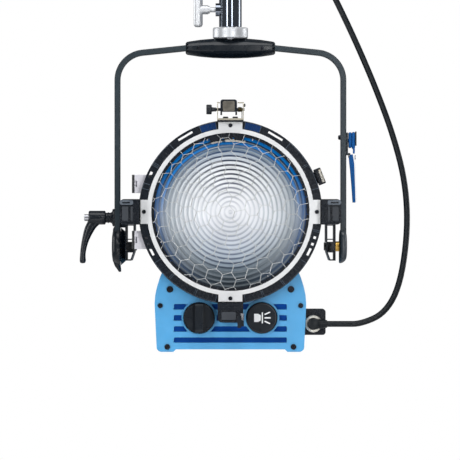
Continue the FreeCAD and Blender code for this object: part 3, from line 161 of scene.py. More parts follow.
def finish_of(name, colour, rough, metal=0.0, vary=0.12, grain=900, depth=0.00005,
              worn=None, worn_share=0.35, rough_vary=0.08, coat=0.0, brushed=None,
              blotch=18, soften=0.0008, shine=0.5, edge=None):
    """A material with uneven colour and gloss, surface grain and, if wanted, worn edges.

    brushed is the (x, y, z) scale of long scratches, worn is the colour under the paint, and
    edge is a darker colour painted along the rounded edges as shade.
    """
    n = Nodes(name)
    base = shade(colour)
    patches = n.spread(n.noise(blotch, 4), 0.35, 0.65, 0, 1)
    tone = n.mix(patches, scaled(base, 1 - vary), scaled(base, 1 + vary))
    soft = n.add("Bevel", {"Radius": soften}, samples=4).outputs["Normal"]
    gloss = n.spread(n.noise(blotch * 5, 5), 0.3, 0.7, rough - rough_vary, rough + rough_vary)
    plain = n.add("NewGeometry").outputs["Normal"]
    along = n.add("VectorMath", {0: soft, 1: plain}, operation="DOT_PRODUCT").outputs["Value"]
    # edge: painted shade, darker where the rounded edges turn away
    if edge:
        tone = n.mix(n.spread(along, 0.985, 0.86, 0, 1), tone, shade(edge))
    if worn:
        chips = n.math("MULTIPLY", n.spread(along, 0.97, 0.80, 0, 1),
                       n.spread(n.noise(240, 4), 0.42, 0.58, 0, 1))
        chips = n.math("MULTIPLY", chips, worn_share)
        tone = n.mix(chips, tone, shade(worn))
    height = n.noise(grain, 2)
    if brushed:
        stretched = n.add("Mapping", {"Vector": n.place, "Scale": brushed}).outputs["Vector"]
        lines = n.noise(1.0, 3, stretched)
        gloss = n.math("ADD", gloss, n.spread(lines, 0.3, 0.7, -0.06, 0.10))
        height = n.math("ADD", height, lines)
    n.give(Base_Color=tone, Roughness=gloss, Metallic=metal,
           Normal=n.bump(height, depth, after=soft), Coat_Weight=coat,
           Specular_IOR_Level=shine)
    return n.material


def woven(name, colour, rows, depth, rough=0.9):
    """Cloth of crossing threads, along Z and across it."""
    n = Nodes(name)
    base = shade(colour)
    along = n.add("TexWave", {"Vector": n.place, "Scale": rows}, bands_direction="Z")
    across = n.add("TexWave", {"Vector": n.place, "Scale": rows}, bands_direction="Y")
    threads = n.math("MULTIPLY", along.outputs["Fac"], across.outputs["Fac"])
    fuzz = n.noise(1400, 4)
    lifted = n.math("ADD", threads, n.math("MULTIPLY", fuzz, 0.6))
    tone = n.mix(n.spread(lifted, 0.2, 1.1, 0, 1), scaled(base, 0.60), scaled(base, 1.25))
    n.give(Base_Color=tone, Roughness=rough, Sheen_Weight=0.03, Specular_IOR_Level=0.2,
           Normal=n.bump(lifted, depth))
    return n.material


M = {
    "black_casting": finish_of("black_casting", (12, 19, 28), 0.27, depth=0.000015,
                               worn=(104, 112, 124), rough_vary=0.04, shine=0.32),
    # yoke_paint darkens its rounded edges as painted shade.
    "yoke_paint": finish_of("yoke_paint", (36, 48, 55), 0.34, depth=0.00002,
                            worn=(120, 124, 130), worn_share=0.15, rough_vary=0.04,
                            soften=0.0034, shine=0.4, edge=(10, 14, 18)),
    "blue_paint": finish_of("blue_paint", (76, 160, 214), 0.38, vary=0.05, grain=500,
                            depth=0.00008, worn=(150, 190, 225), coat=0.25),
    "black_plastic": finish_of("black_plastic", (12, 20, 28), 0.30, depth=0.000012,
                               worn=(84, 92, 104), worn_share=0.30, rough_vary=0.04,
                               shine=0.32),
    "black_rubber": finish_of("black_rubber", (10, 17, 22), 0.42, grain=1400, depth=0.00002,
                              shine=0.25),
    "chromed_steel": finish_of("chromed_steel", (118, 124, 134), 0.08, 1.0, vary=0.06,
                               depth=0.000003, rough_vary=0.02),
    "plain_steel": finish_of("plain_steel", (170, 171, 176), 0.30, 1.0, vary=0.08,
                             depth=0.00001, brushed=(60, 60, 900)),
    "zinc_steel": finish_of("zinc_steel", (178, 175, 168), 0.36, 0.9, vary=0.10,
                            depth=0.00002, blotch=40),
    "satin_aluminium": finish_of("satin_aluminium", (204, 206, 209), 0.44, 0.75, vary=0.05,
                                 depth=0.00002, brushed=(20, 20, 1800)),
    "white_aluminium": finish_of("white_aluminium", (212, 213, 214), 0.42, 0.30, vary=0.03,
                                 depth=0.00002, brushed=(400, 400, 30)),
    "dark_screws": finish_of("dark_screws", (40, 42, 48), 0.30, 0.9, worn=(170, 170, 175),
                             depth=0.00001, soften=0.0003),
    "brass_bush": finish_of("brass_bush", (206, 166, 84), 0.30, 1.0, depth=0.00001,
                            brushed=(900, 30, 30)),
    "guard_wire": finish_of("guard_wire", (190, 192, 192), 0.34, 0.6, depth=0.00001,
                            soften=0.0002),
    "mirror": finish_of("mirror", (230, 230, 232), 0.10, 1.0, vary=0.02, depth=0.00004,
                        grain=160),
    "ceramic": finish_of("ceramic", (226, 218, 200), 0.55, depth=0.00005),
    "blue_strap": woven("blue_strap", (0, 98, 176), 900, 0.00025, 0.5),
    "black_strap": woven("black_strap", (26, 28, 32), 900, 0.00025),
}


# ---------------------------------------------------------------- mains lead
CORD_DIAMETER = 0.012
CORD_EXIT = (0.190, -0.137, -0.220)          # the boot's end; heights from the lens axis
LEAD_ROUTE = [
    (0.225, -0.137, -0.220), (0.256, -0.137, -0.220), (0.303, -0.132, -0.200),
    (0.334, -0.114, -0.145), (0.350, -0.091, -0.038), (0.346, -0.068, 0.058),
    (0.323, -0.045, 0.150), (0.289, -0.022, 0.244), (0.253, -0.002, 0.330),
    (0.217, 0.014, 0.408), (0.181, 0.026, 0.480), (0.147, 0.032, 0.543),
    (0.105, 0.0345, 0.597), (0.062, 0.0345, 0.630), (0.000, 0.0345, 0.630)]
COIL_CENTRE, COIL_RADIUS = 0.570, 0.060
COIL_FRONT, COIL_BACK, COIL_TURNS = 0.0345, 0.0985, 5.25
POINTS_A_TURN = 16
PLUG_LEVEL = 0.520


def cord_points():
    """The lead's control points: out of the boot, up to the coil, round it and down."""
    points = [CORD_EXIT] + LEAD_ROUTE
    reach = COIL_RADIUS / math.cos(math.pi / POINTS_A_TURN)
    count = int(COIL_TURNS * POINTS_A_TURN)
    for number in range(1, count + 1):
        angle = 2 * math.pi * number / POINTS_A_TURN
        depth = COIL_FRONT + (COIL_BACK - COIL_FRONT) * number / count
        points.append((-reach * math.sin(angle), depth,
                       COIL_CENTRE + reach * math.cos(angle)))
    points += [(-COIL_RADIUS, COIL_BACK, COIL_CENTRE - 0.020), (-COIL_RADIUS, COIL_BACK, PLUG_LEVEL)]
    return [Vector((x, y, z + LENS_LEVEL)) for x, y, z in points]


def nurbs_line(points, steps):
    """Points read along a NURBS spline that has the given control points."""
    curve = bpy.data.curves.new("route", "CURVE")
    curve.dimensions = "3D"
    spline = curve.splines.new("NURBS")
    spline.points.add(len(points) - 1)
    for spot, point in zip(spline.points, points):
        spot.co = (*point, 1)
    spline.order_u = 3
    spline.use_endpoint_u = True
    spline.resolution_u = steps
    holder = bpy.data.objects.new("route", curve)
    bpy.context.scene.collection.objects.link(holder)
    line = bpy.data.meshes.new_from_object(holder)
    found = [v.co.copy() for v in line.vertices]
    bpy.data.objects.remove(holder)
    bpy.data.curves.remove(curve)
    bpy.data.meshes.remove(line)
    return found


# ---------------------------------------------------------------- making pieces
def new_piece(name, bm, body, slot, replaces=(), angle=35, bevel=0.0, levels=0, segments=2,
              material=None):
    """Turns a bmesh into a smooth-shaded piece that rides on a body, if it is given one.

    Its finish is its slot's own unless another material is given.
    """
    bmesh.ops.recalc_face_normals(bm, faces=bm.faces)
    bm.normal_update()
    for face in bm.faces:
        face.smooth = True
    for edge in bm.edges:
        if not levels and len(edge.link_faces) == 2:
            edge.smooth = edge.calc_face_angle(0) <= math.radians(angle)
    data = bpy.data.meshes.new(name)
    bm.to_mesh(data)
    bm.free()
    piece = bpy.data.objects.new(name, data)
    bpy.context.scene.collection.objects.link(piece)
    data.materials.append(material or M[slot])
    if bevel:
        soft = piece.modifiers.new("bevel", "BEVEL")
        soft.width, soft.segments, soft.limit_method = bevel, segments, "ANGLE"
        soft.angle_limit = math.radians(30)
        soft.harden_normals = True
    if levels:
        sub = piece.modifiers.new("subdivision", "SUBSURF")
        sub.levels = sub.render_levels = levels
    if body:
        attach(piece, body)
    if replaces:
        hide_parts(*replaces)
    return piece


def loft(bm, rings, closed=False):
    """Skins a row of point rings of one size; it has flat ends unless it closes on itself."""
    made = [[bm.verts.new(p) for p in ring] for ring in rings]
    for one, two in zip(made, made[1:] + made[:closed]):
        for k in range(len(one)):
            after = (k + 1) % len(one)
            bm.faces.new((one[k], one[after], two[after], two[k]))
    if not closed:
        bm.faces.new(made[0][::-1])
        bm.faces.new(made[-1])


def course(line, closed):
    """Each point of a line with the step from the point before it to the one after."""
    ends = (line[-1], line[0]) if closed else (line[0], line[-1])
    around = [ends[0], *line, ends[1]]
    return [(point, around[k + 2] - around[k]) for k, point in enumerate(line)]


def sweep(bm, line, radius, sides, closed=False):
    """A round tube along a line of points."""
    normal, rings = None, []
    for point, step in course(line, closed):
        ahead = step.normalized()
        if normal is None:
            guide = Z if abs(ahead.z) < 0.9 else Y
            normal = guide.cross(ahead).normalized()
        normal = (normal - ahead * normal.dot(ahead)).normalized()
        side = ahead.cross(normal)
        rings.append([point + radius * (normal * math.cos(2 * math.pi * k / sides)
                                        + side * math.sin(2 * math.pi * k / sides))
                      for k in range(sides)])
    loft(bm, rings, closed)


def lathe(bm, profile, origin, axis, steps=48, ripple=None):
    """Turns (radius, along) pairs, in millimetres, about an axis.

    ripple(angle, along) scales the radius.
    """
    guide = Z if abs(axis.z) < 0.9 else X
    side = guide.cross(axis).normalized()
    up = axis.cross(side)
    rings = []
    for radius, along in profile:
        centre = origin + axis * along / 1000
        if not radius:
            rings.append([bm.verts.new(centre)])
            continue
        ring = []
        for k in range(steps):
            angle = 2 * math.pi * k / steps
            r = radius / 1000 * (ripple(angle, along) if ripple else 1)
            ring.append(bm.verts.new(centre + side * r * math.cos(angle)
                                     + up * r * math.sin(angle)))
        rings.append(ring)
    for one, two in zip(rings, rings[1:]):
        for k in range(steps):
            a, b = one[k % len(one)], one[(k + 1) % len(one)]
            c, d = two[(k + 1) % len(two)], two[k % len(two)]
            corners = list(dict.fromkeys((a, b, c, d)))
            if len(corners) > 2:
                bm.faces.new(corners)


def prism(bm, outline, low, high):
    """A closed outline of (x, z) pairs, pushed from low to high along Y."""
    one = [bm.verts.new(at(x, low, z)) for x, z in outline]
    two = [bm.verts.new(at(x, high, z)) for x, z in outline]
    bm.faces.new(one)
    bm.faces.new(two[::-1])
    count = len(outline)
    for k in range(count):
        bm.faces.new((one[k], two[k], two[(k + 1) % count], one[(k + 1) % count]))


def box(x, z):
    """The outline of a rectangle."""
    return [(x[0], z[0]), (x[1], z[0]), (x[1], z[1]), (x[0], z[1])]


def rounded_box(x, z, radius):
    """The outline of a rectangle with round corners."""
    steps = 5
    points = []
    for cx, cz, start in ((x[1] - radius, z[1] - radius, 0), (x[0] + radius, z[1] - radius, 90),
                          (x[0] + radius, z[0] + radius, 180),
                          (x[1] - radius, z[0] + radius, 270)):
        for k in range(steps + 1):
            angle = math.radians(start + 90 * k / steps)
            points.append((cx + radius * math.cos(angle), cz + radius * math.sin(angle)))
    return points


def make_cord():
    """The mains lead, which runs from the head to the yoke."""
    control = cord_points()
    line = nurbs_line(control, 6)
    bm = bmesh.new()
    sweep(bm, line, CORD_DIAMETER / 2, sides=14)
    cord = new_piece("mains_lead", bm, None, "black_rubber",
                     ("mains_cord_lower", "mains_cord_upper", "mains_cord_coil"))
    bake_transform(cord)


# ---------------------------------------------------------------- lens and glass
def lens_painted_light():
    """Pressed glass coloured with painted light: a painted glow, white in the middle, with painted
    blue reflections and painted shade towards its edge.

    Each step of the lens has a painted line where it stands: dark shade on the light middle and
    pale highlight in the outer bands.  The painted light differs towards the top, the sides and
    the bottom.
    """
    n = Nodes("lens_glass")
    centre = n.add("Mapping", {"Vector": n.place, "Location": (0, 0, -LENS_LEVEL)})
    parts = n.add("SeparateXYZ", {"Vector": centre.outputs["Vector"]})
    x, z = parts.outputs["X"], parts.outputs["Z"]
    radius = n.math("SQRT", n.math("ADD", n.math("MULTIPLY", x, x), n.math("MULTIPLY", z, z)))
    wobble = n.math("MULTIPLY", n.math("SUBTRACT", n.noise(30, 2), 0.5), 0.0012)
    place = n.math("ADD", radius, wobble)
    step = n.math("DIVIDE", n.math("SUBTRACT", place, LENS_DOME), LENS_STEP)
    phase = n.math("FRACT", n.math("ADD", step, 10))
    line = n.math("MAXIMUM", n.spread(phase, 0.56, 0.80, 0, 1), n.spread(phase, 0.14, 0.0, 0, 1))
    share_up = n.math("DIVIDE", z, n.math("MAXIMUM", radius, 0.001))
    top = n.math("POWER", n.math("MAXIMUM", share_up, 0.0), 2.0)
    low = n.math("POWER", n.math("MAXIMUM", n.math("MULTIPLY", share_up, -1.0), 0.0), 1.5)
    scaled = n.math("DIVIDE", radius, LENS_RADIUS)

    def ramp(stops):
        node = n.add("ValToRGB", {"Fac": scaled})
        points = node.color_ramp.elements
        for number, (spot, colour) in enumerate(stops):
            point = points[number] if number < 2 else points.new(spot)
            point.position, point.color = spot, shade(colour)
        return node.outputs["Color"]

    # The top and the bottom differ in painted light: more blue reflection at the top, darker painted
    # shade at the bottom.
    wide = n.spread(share_up, -0.1, 0.5, 0, 1)
    glow_top = n.mix(n.spread(scaled, 0.80, 0.84, 0, 1), top, wide)
    glow = n.mix(low, n.mix(glow_top, ramp(SIDE_PAINTED_GLOW), ramp(TOP_PAINTED_GLOW)), ramp(LOW_PAINTED_GLOW))
    lines_top = n.mix(n.spread(scaled, 0.80, 0.82, 0, 1), top, wide)
    lines = n.mix(low, n.mix(lines_top, ramp(SIDE_PAINTED_LINES), ramp(TOP_PAINTED_LINES)), ramp(LOW_PAINTED_LINES))
    cloud = n.spread(n.noise(24, 3), 0.35, 0.65, 0.90, 1.0)
    tone = n.mix(line, glow, lines)
    tone = n.add("VectorMath", {0: tone, 1: LENS_GAIN}, operation="MULTIPLY").outputs["Vector"]
    tone = n.add("VectorMath", {0: tone, "Scale": cloud}, operation="SCALE").outputs["Vector"]
    specks = n.bump(n.noise(700, 3), 0.00015)
    # The tone is also given as emission, a painted glow: the lamp inside is not lit.
    n.give(Base_Color=tone, Roughness=0.34, Coat_Weight=0.08, Coat_Roughness=0.1, IOR=1.32,
           Normal=specks, Emission_Color=tone, Emission_Strength=0.15)
    return n.material


def clear_glass():
    """The lamp's bulb."""
    n = Nodes("lamp_glass")
    n.give(Base_Color=shade((232, 240, 240)), Roughness=n.spread(n.noise(60), 0.3, 0.7, 0.02, 0.08),
           Transmission_Weight=0.92, IOR=1.48, Normal=n.bump(n.noise(200), 0.00002))
    return n.material


LENS_DOME = 0.0129           # the plain middle's radius
LENS_RADIUS = 0.15288
LENS_GAIN = (0.86, 0.86, 0.86)
# Painted light from the middle of the lens (0) to its edge (1), between the step lines (GLOW) and
# # on them (LINES), for the top, the sides and the bottom (LOW): a painted glow, painted shade lower
# # down and painted blue reflections.  Both top rows end in OUTER_PAINTED_REFLECTION, the painted
# blue reflections and
# # pale painted highlights near the lens's edge.
OUTER_PAINTED_REFLECTION = [(0.811, (150, 164, 174)), (0.832, (76, 108, 142)), (0.850, (150, 164, 178)),
         (0.862, (84, 106, 138)), (0.870, (34, 126, 206)), (0.892, (38, 130, 210)),
         (0.902, (40, 74, 120)), (0.914, (166, 182, 192)), (0.922, (36, 46, 66)),
         (0.936, (34, 76, 122)), (0.942, (20, 132, 222)), (0.972, (20, 134, 224)),
         (0.980, (26, 44, 72))]
TOP_PAINTED_GLOW = [(0, (232, 234, 238)), (1, (22, 28, 36)), (0.2, (240, 242, 245)),
            (0.52, (245, 247, 249)), (0.65, (237, 241, 246)), (0.73, (198, 208, 218)),
            (0.80, (142, 160, 180)), *OUTER_PAINTED_REFLECTION]
TOP_PAINTED_LINES = [(0, (208, 211, 217)), (1, (22, 28, 36)), (0.16, (186, 189, 198)),
             (0.26, (156, 160, 170)), (0.36, (96, 102, 118)), (0.47, (46, 54, 72)),
             (0.60, (18, 27, 48)), (0.70, (26, 42, 72)), (0.80, (54, 80, 118)), *OUTER_PAINTED_REFLECTION]
SIDE_PAINTED_GLOW = [(0, (234, 236, 240)), (1, (40, 84, 158)), (0.31, (239, 241, 245)),
             (0.57, (238, 241, 245)), (0.70, (220, 225, 230)), (0.78, (198, 205, 210)),
             (0.86, (176, 185, 196)), (0.91, (136, 156, 184)), (0.95, (78, 114, 172))]
SIDE_PAINTED_LINES = [(0, (216, 218, 224)), (1, (120, 132, 150)), (0.31, (212, 216, 222)),
              (0.47, (190, 196, 203)), (0.60, (176, 183, 190)), (0.75, (160, 168, 176)),
              (0.86, (142, 152, 166)), (0.93, (150, 160, 172))]
LOW_PAINTED_GLOW = [(0, (230, 232, 236)), (1, (56, 64, 72)), (0.21, (228, 231, 236)),
            (0.36, (216, 221, 229)), (0.49, (202, 210, 220)), (0.60, (186, 197, 208)),
            (0.70, (150, 164, 178)), (0.78, (96, 110, 120)), (0.88, (54, 64, 72))]
LOW_PAINTED_LINES = [(0, (198, 202, 210)), (1, (124, 134, 140)), (0.18, (186, 191, 200)),
             (0.36, (150, 158, 173)), (0.49, (128, 140, 158)), (0.60, (88, 102, 124)),
             (0.69, (58, 70, 88)), (0.75, (70, 82, 94)), (0.79, (130, 140, 148)),
             (0.88, (116, 126, 134))]
LENS_STEP = 0.134 / 15       # from one ring to the next
M["lens_glass"] = lens_painted_light()
M["lamp_glass"] = clear_glass()


def hinge_finish():
    """Light satin leaves whose barrels, on the outer side, are blackened."""
    material = finish_of("hinge_steel", (208, 207, 214), 0.42, 0.25, vary=0.03, depth=0.00002)
    n = Nodes(material=material)
    x = n.add("SeparateXYZ", {"Vector": n.place}).outputs["X"]
    tone = n.surface.inputs["Base Color"].links[0].from_socket
    n.give(Base_Color=n.mix(n.spread(x, -0.1880, -0.1884, 0, 1), tone, shade((20, 22, 28))))
    return material


OWN_FINISH = {
    "hinge_leaves_fixed": hinge_finish(),
    "latch_spring": finish_of("spring_steel", (74, 66, 40), 0.34, 0.8, depth=0.00001),
    "pivot_blocks": finish_of("blackened_steel", (20, 23, 28), 0.34, worn=(120, 124, 130)),
    "latch_base": finish_of("latch_steel", (176, 170, 154), 0.36, 0.8, vary=0.10, blotch=60,
                            depth=0.00002, worn=(226, 222, 210)),
}
OWN_FINISH["hinge_leaves_door"] = OWN_FINISH["hinge_leaves_fixed"]
for part in frame["record"]["subparts"]:
    node = frame["nodes"][part["node"]]
    node.data.materials.clear()
    node.data.materials.append(OWN_FINISH.get(part["node"], M[part["material_slot"]]))


# ---------------------------------------------------------------- floor and light
def studio():
    """A pale floor well below the hanging lamp, a white surround and soft lights."""
    bm = bmesh.new()
    bmesh.ops.create_circle(bm, cap_ends=True, segments=96, radius=14)
    data = bpy.data.meshes.new("floor")
    bm.to_mesh(data)
    bm.free()
    floor = bpy.data.objects.new("floor", data)
    floor.location = (0, 0, -2.4)
    bpy.context.scene.collection.objects.link(floor)
    paper = Nodes("pale_floor")
    seen = paper.add("LightPath").outputs["Is Camera Ray"]
    paper.give(Base_Color=(0.82, 0.82, 0.82, 1), Roughness=0.8,
               Emission_Color=(1, 1, 1, 1), Emission_Strength=paper.math("MULTIPLY", seen, 0.72))
    data.materials.append(paper.material)

    world = bpy.data.worlds.new("surround")
    bpy.context.scene.world = world
    world.use_nodes = True
    tree = world.node_tree
    back = tree.nodes["Background"]
    shown = tree.nodes.new("ShaderNodeBackground")
    shown.inputs["Color"].default_value = (1, 1, 1, 1)
    mixer = tree.nodes.new("ShaderNodeMixShader")
    path = tree.nodes.new("ShaderNodeLightPath")
    back.inputs["Color"].default_value = (0.90, 0.94, 1.0, 1)
    back.inputs["Strength"].default_value = 0.20
    tree.links.new(path.outputs["Is Camera Ray"], mixer.inputs[0])
    tree.links.new(back.outputs[0], mixer.inputs[1])
    tree.links.new(shown.outputs[0], mixer.inputs[2])
    tree.links.new(mixer.outputs[0], tree.nodes["World Output"].inputs["Surface"])

    for name, place, size, power in (
            ("left_strip", (-1.9, -2.9, -0.25), (0.5, 2.4), 44),
            ("right_strip", (1.0, -3.3, -0.25), (0.45, 2.4), 38),
            ("top_box", (0.0, -1.0, 1.7), (2.4, 1.6), 46),
            ("side_left", (-3.2, 0.9, -0.2), (1.2, 1.6), 34),
            ("side_right", (3.2, 0.9, -0.2), (1.2, 1.6), 34),
            ("behind", (0.3, 3.0, 0.2), (2.4, 1.8), 40),
            ("low_fill", (0.0, -2.4, -2.1), (2.4, 0.8), 9)):
        lamp = bpy.data.lights.new(name, "AREA")
        lamp.shape, lamp.size, lamp.size_y, lamp.energy = "RECTANGLE", size[0], size[1], power
        holder = bpy.data.objects.new(name, lamp)
        bpy.context.scene.collection.objects.link(holder)
        holder.location = place
        holder.visible_glossy = name != "behind"
        holder.rotation_euler = (Vector((0, 0, LENS_LEVEL)) - Vector(place)).to_track_quat(
            "-Z", "Y").to_euler()
    bpy.context.scene.view_settings.view_transform = "Standard"


# ---------------------------------------------------------------- wire guard and lens rim
GUARD_PLANE = -173.3
GUARD_EDGE = 152.6
CELL = 29.0                  # across the flats of a wire cell
CELL_TURN = math.radians(-18)
CELL_START = (-92.8, -80.5)  # the middle of one cell


def make_guard():
    """Hexagonal wire netting: twisted pairs on one side of each cell, hooked in at the rim."""
    chance = random.Random(11)
    side = CELL / math.sqrt(3)
    step_a, step_b = heading(CELL_TURN) * CELL, heading(CELL_TURN + math.pi / 3) * CELL
    nodes, edges = {}, set()

    def node(point):
        key = (round(point.x), round(point.y))
        for dx in (-1, 0, 1):
            for dy in (-1, 0, 1):
                if (key[0] + dx, key[1] + dy) in nodes:
                    return (key[0] + dx, key[1] + dy)
        shift = Vector((chance.uniform(-1.6, 1.6), chance.uniform(-1.6, 1.6)))
        nodes[key] = (point + shift, GUARD_PLANE + chance.uniform(-0.5, 0.5))
        return key

    for a in range(-9, 14):
        for b in range(-9, 14):
            centre = Vector(CELL_START) + step_a * a + step_b * b
            if centre.length > GUARD_EDGE + CELL:
                continue
            corners = [node(centre + heading(CELL_TURN + math.radians(30 + 60 * k)) * side)
                       for k in range(6)]
            for k in range(6):
                one, two = corners[k], corners[(k + 1) % 6]
                edges.add((min(one, two), max(one, two), k % 3 == 2))

    def spot(point, depth):
        return at(point.x, depth, point.y)

    bm = bmesh.new()
    done = set()
    for one, two, twisted in sorted(edges):
        if (one, two) in done:
            continue
        done.add((one, two))
        (p, d), (q, e) = nodes[one], nodes[two]
        inside = [p.length < GUARD_EDGE, q.length < GUARD_EDGE]
        if not any(inside):
            continue
        line = []
        hooked = not all(inside)
        if hooked and not inside[0]:
            p, q, d, e = q, p, e, d
        if hooked:
            low, high = 0.0, 1.0
            for _ in range(20):
                half = (low + high) / 2
                if p.lerp(q, half).length < GUARD_EDGE:
                    low = half
                else:
                    high = half
            q = p.lerp(q, low)
        for k in range(7):
            share = k / 6
            line.append(spot(p.lerp(q, share), d + (e - d) * share))
        if hooked:
            out = q.normalized()
            line += [spot(q + out * 0.9, e + 0.8), spot(q + out * 1.2, -170),
                     spot(q + out * 1.2, -165.5)]
        if twisted and not hooked:
            middle = [line[0].lerp(line[-1], k / 12) for k in range(13)]
            ahead = (line[-1] - line[0]).normalized()
            across = ahead.cross(Y)
            for half_turn in (0, math.pi):
                pair = [m + (across * math.cos(half_turn + k * 0.9)
                             + Y * math.sin(half_turn + k * 0.9)) * 0.00042
                        for k, m in enumerate(middle)]
                sweep(bm, pair, 0.00048, sides=6)
        else:
            sweep(bm, line, 0.00052, sides=6)
    new_piece("guard_netting", bm, "lens_door", "guard_wire", ("wire_guard",), angle=60)


def arc_plate(bm, inner, outer, low, high, start, end, steps=None):
    """A flat piece of a ring about the lens axis; degrees run clockwise from the top."""
    steps = steps or max(2, int(abs(end - start) / 3))
    outline = []
    for k in range(steps + 1):
        angle = math.radians(start + (end - start) * k / steps)
        outline.append((outer * math.sin(angle), outer * math.cos(angle)))
    for k in range(steps, -1, -1):
        angle = math.radians(start + (end - start) * k / steps)
        outline.append((inner * math.sin(angle), inner * math.cos(angle)))
    prism(bm, outline, low, high)


def make_rim():
    """Black spring segments that hold the lens, with clips and tongues at the top, and pins."""
    chance = random.Random(5)
    bm = bmesh.new()
    angle = -170.0
    while angle < 186:
        length = chance.uniform(9, 24)
        end = min(angle + length, 189)
        inner = 149.0 if abs(angle + length / 2) > 14 else 146
        arc_plate(bm, inner, 155.1, -166.2, -162.0, angle, end)
        angle = end + chance.uniform(0.5, 1.0)
    for start, end, inner in ((-16, -6.2, 140.5), (-5.0, 1.8, 141.5), (3.0, 10.5, 141.0)):
        arc_plate(bm, inner, 154.8, -167.4, -166.0, start, end)
    new_piece("lens_rim_clips", bm, "lens_door", "black_casting", angle=30, bevel=0.0003)
    bm = bmesh.new()
    for start in (-15.5, -4.4, 3.6):
        arc_plate(bm, 137.5, 142.5, -167.2, -166.4, start, start + 8.5)
    new_piece("lens_rim_tongues", bm, "lens_door", "zinc_steel", angle=30, bevel=0.0003)
    bm = bmesh.new()
    for x, z in ((-44.884, 140.924), (43.316, 140.924), (-78.9135, -125.2068),
                 (73.696, -125.636), (133.868, -60.368), (-135.5917, -59.3214)):
        lathe(bm, [(0, -1.2), (1.2, -1), (2, 0), (2, 6)], at(x, -169.5, z), Y, steps=14)
    new_piece("lens_rim_pins", bm, "lens_door", "plain_steel", angle=50)


def make_ring_plates():
    """Overlapping cast sectors on the face of the door ring.  The two sectors at the top are tinted
    dark blue as a painted blue sheen; lighter lines along the sectors' ends and outer edge are
    partly edge wear, partly a painted highlight.
    """
    chance = random.Random(3)
    # The top sectors' dark blue: a painted blue sheen.
    blue_sheen = finish_of("casting_painted_blue_sheen", (0, 44, 92), 0.34, depth=0.00002,
                      worn=(40, 60, 96), shine=0.2)
    # Lighter edge lines: partly edge wear, partly a painted highlight.
    wear_and_highlight = finish_of("ring_edge_wear_and_highlight", (62, 72, 84), 0.3, metal=0.4, depth=0.00002)
    plain, sheen_plates, edge_lines = bmesh.new(), bmesh.new(), bmesh.new()
    spans = [(9.5, 20), (41, 58), (59, 75), (102, 103), (124, 143), (144, 158), (159, 170.5),
             (189.5, 203), (204, 222), (223, 236), (285, 288.5), (301, 302), (303, 318), (340, 350.5)]
    for number, (start, end) in enumerate(spans):
        bm = sheen_plates if number in (0, len(spans) - 1) else plain
        lift = 0.5 * (number % 3)
        arc_plate(bm, 165.2, 178.9, -166.0 - lift, -164.4, start, end)
        ribs = int((end - start) / 2.6)
        for k in range(1, ribs):
            angle = start + (end - start) * k / ribs + chance.uniform(-0.3, 0.3)
            arc_plate(bm, 166.4, 177.8, -167.2 - lift, -165.9 - lift, angle - 0.38, angle + 0.38,
                      steps=2)
        arc_plate(bm, 164.6, 166.0, -166.9 - lift, -165.6, start, end)
        arc_plate(edge_lines, 178.0, 179.2, -166.8 - lift, -165.8, start, end)
        for angle in (start, end):
            arc_plate(edge_lines, 165.4, 179.0, -167.4 - lift, -165.8, angle - 0.22, angle + 0.22,
                      steps=2)
    for name, bm, finish in (("ring_plates", plain, M["black_casting"]),
                             ("ring_plates_blue_sheen", sheen_plates, blue_sheen),
                             ("ring_edge_wear_and_highlight", edge_lines, wear_and_highlight)):
        new_piece(name, bm, "lens_door", "black_casting", angle=30, bevel=0.00035, material=finish)


# ---------------------------------------------------------------- beam mark on the cap
def make_mark():
    """A plain white picture of a lamp with its beam, on the blanking cap."""
    mark = finish_of("white_print", (236, 238, 240), 0.5, vary=0.02, depth=0.00001)
    bm = bmesh.new()
    (x, z), low, high = BLANK_CAP, -148.25, -147.9
    prism(bm, [(x - 15, z - 8), (x - 7, z - 8), (x - 2, z - 5), (x - 2, z + 5), (x - 7, z + 8),
               (x - 15, z + 8)], low, high)
    prism(bm, box((x, x + 2.4), (z - 11, z + 11)), low, high)
    for tilt in (-24, 0, 24):
        a = math.radians(tilt)
        ahead, aside = heading(a), heading(a + math.pi / 2)
        start = Vector((x + 5.5, z + 16 * math.sin(a)))
        end = start + ahead * 12
        prism(bm, [start - aside * 1.3, end - aside * 1.3, end + aside * 1.3, start + aside * 1.3],
              low, high)
    new_piece("beam_mark", bm, "head", "black_plastic", angle=30, material=mark)


# ---------------------------------------------------------------- moulded and cast pieces
def column(bm, stations, power):
    """An upright arm through rounded rectangles, each given as z, x from, x to, half depth."""
    steps, rings = 24, []
    for z, low, high, deep in stations:
        centre, half = at((low + high) / 2, 0, z), (high - low) / 2000
        ring = []
        for k in range(steps):
            angle = 2 * math.pi * k / steps
            c, s = math.cos(angle), math.sin(angle)
            ring.append(centre + X * half * math.copysign(abs(c) ** (2 / power), c)
                        + Y * deep / 1000 * math.copysign(abs(s) ** (2 / power), s))
        rings.append(ring)
    loft(bm, rings)


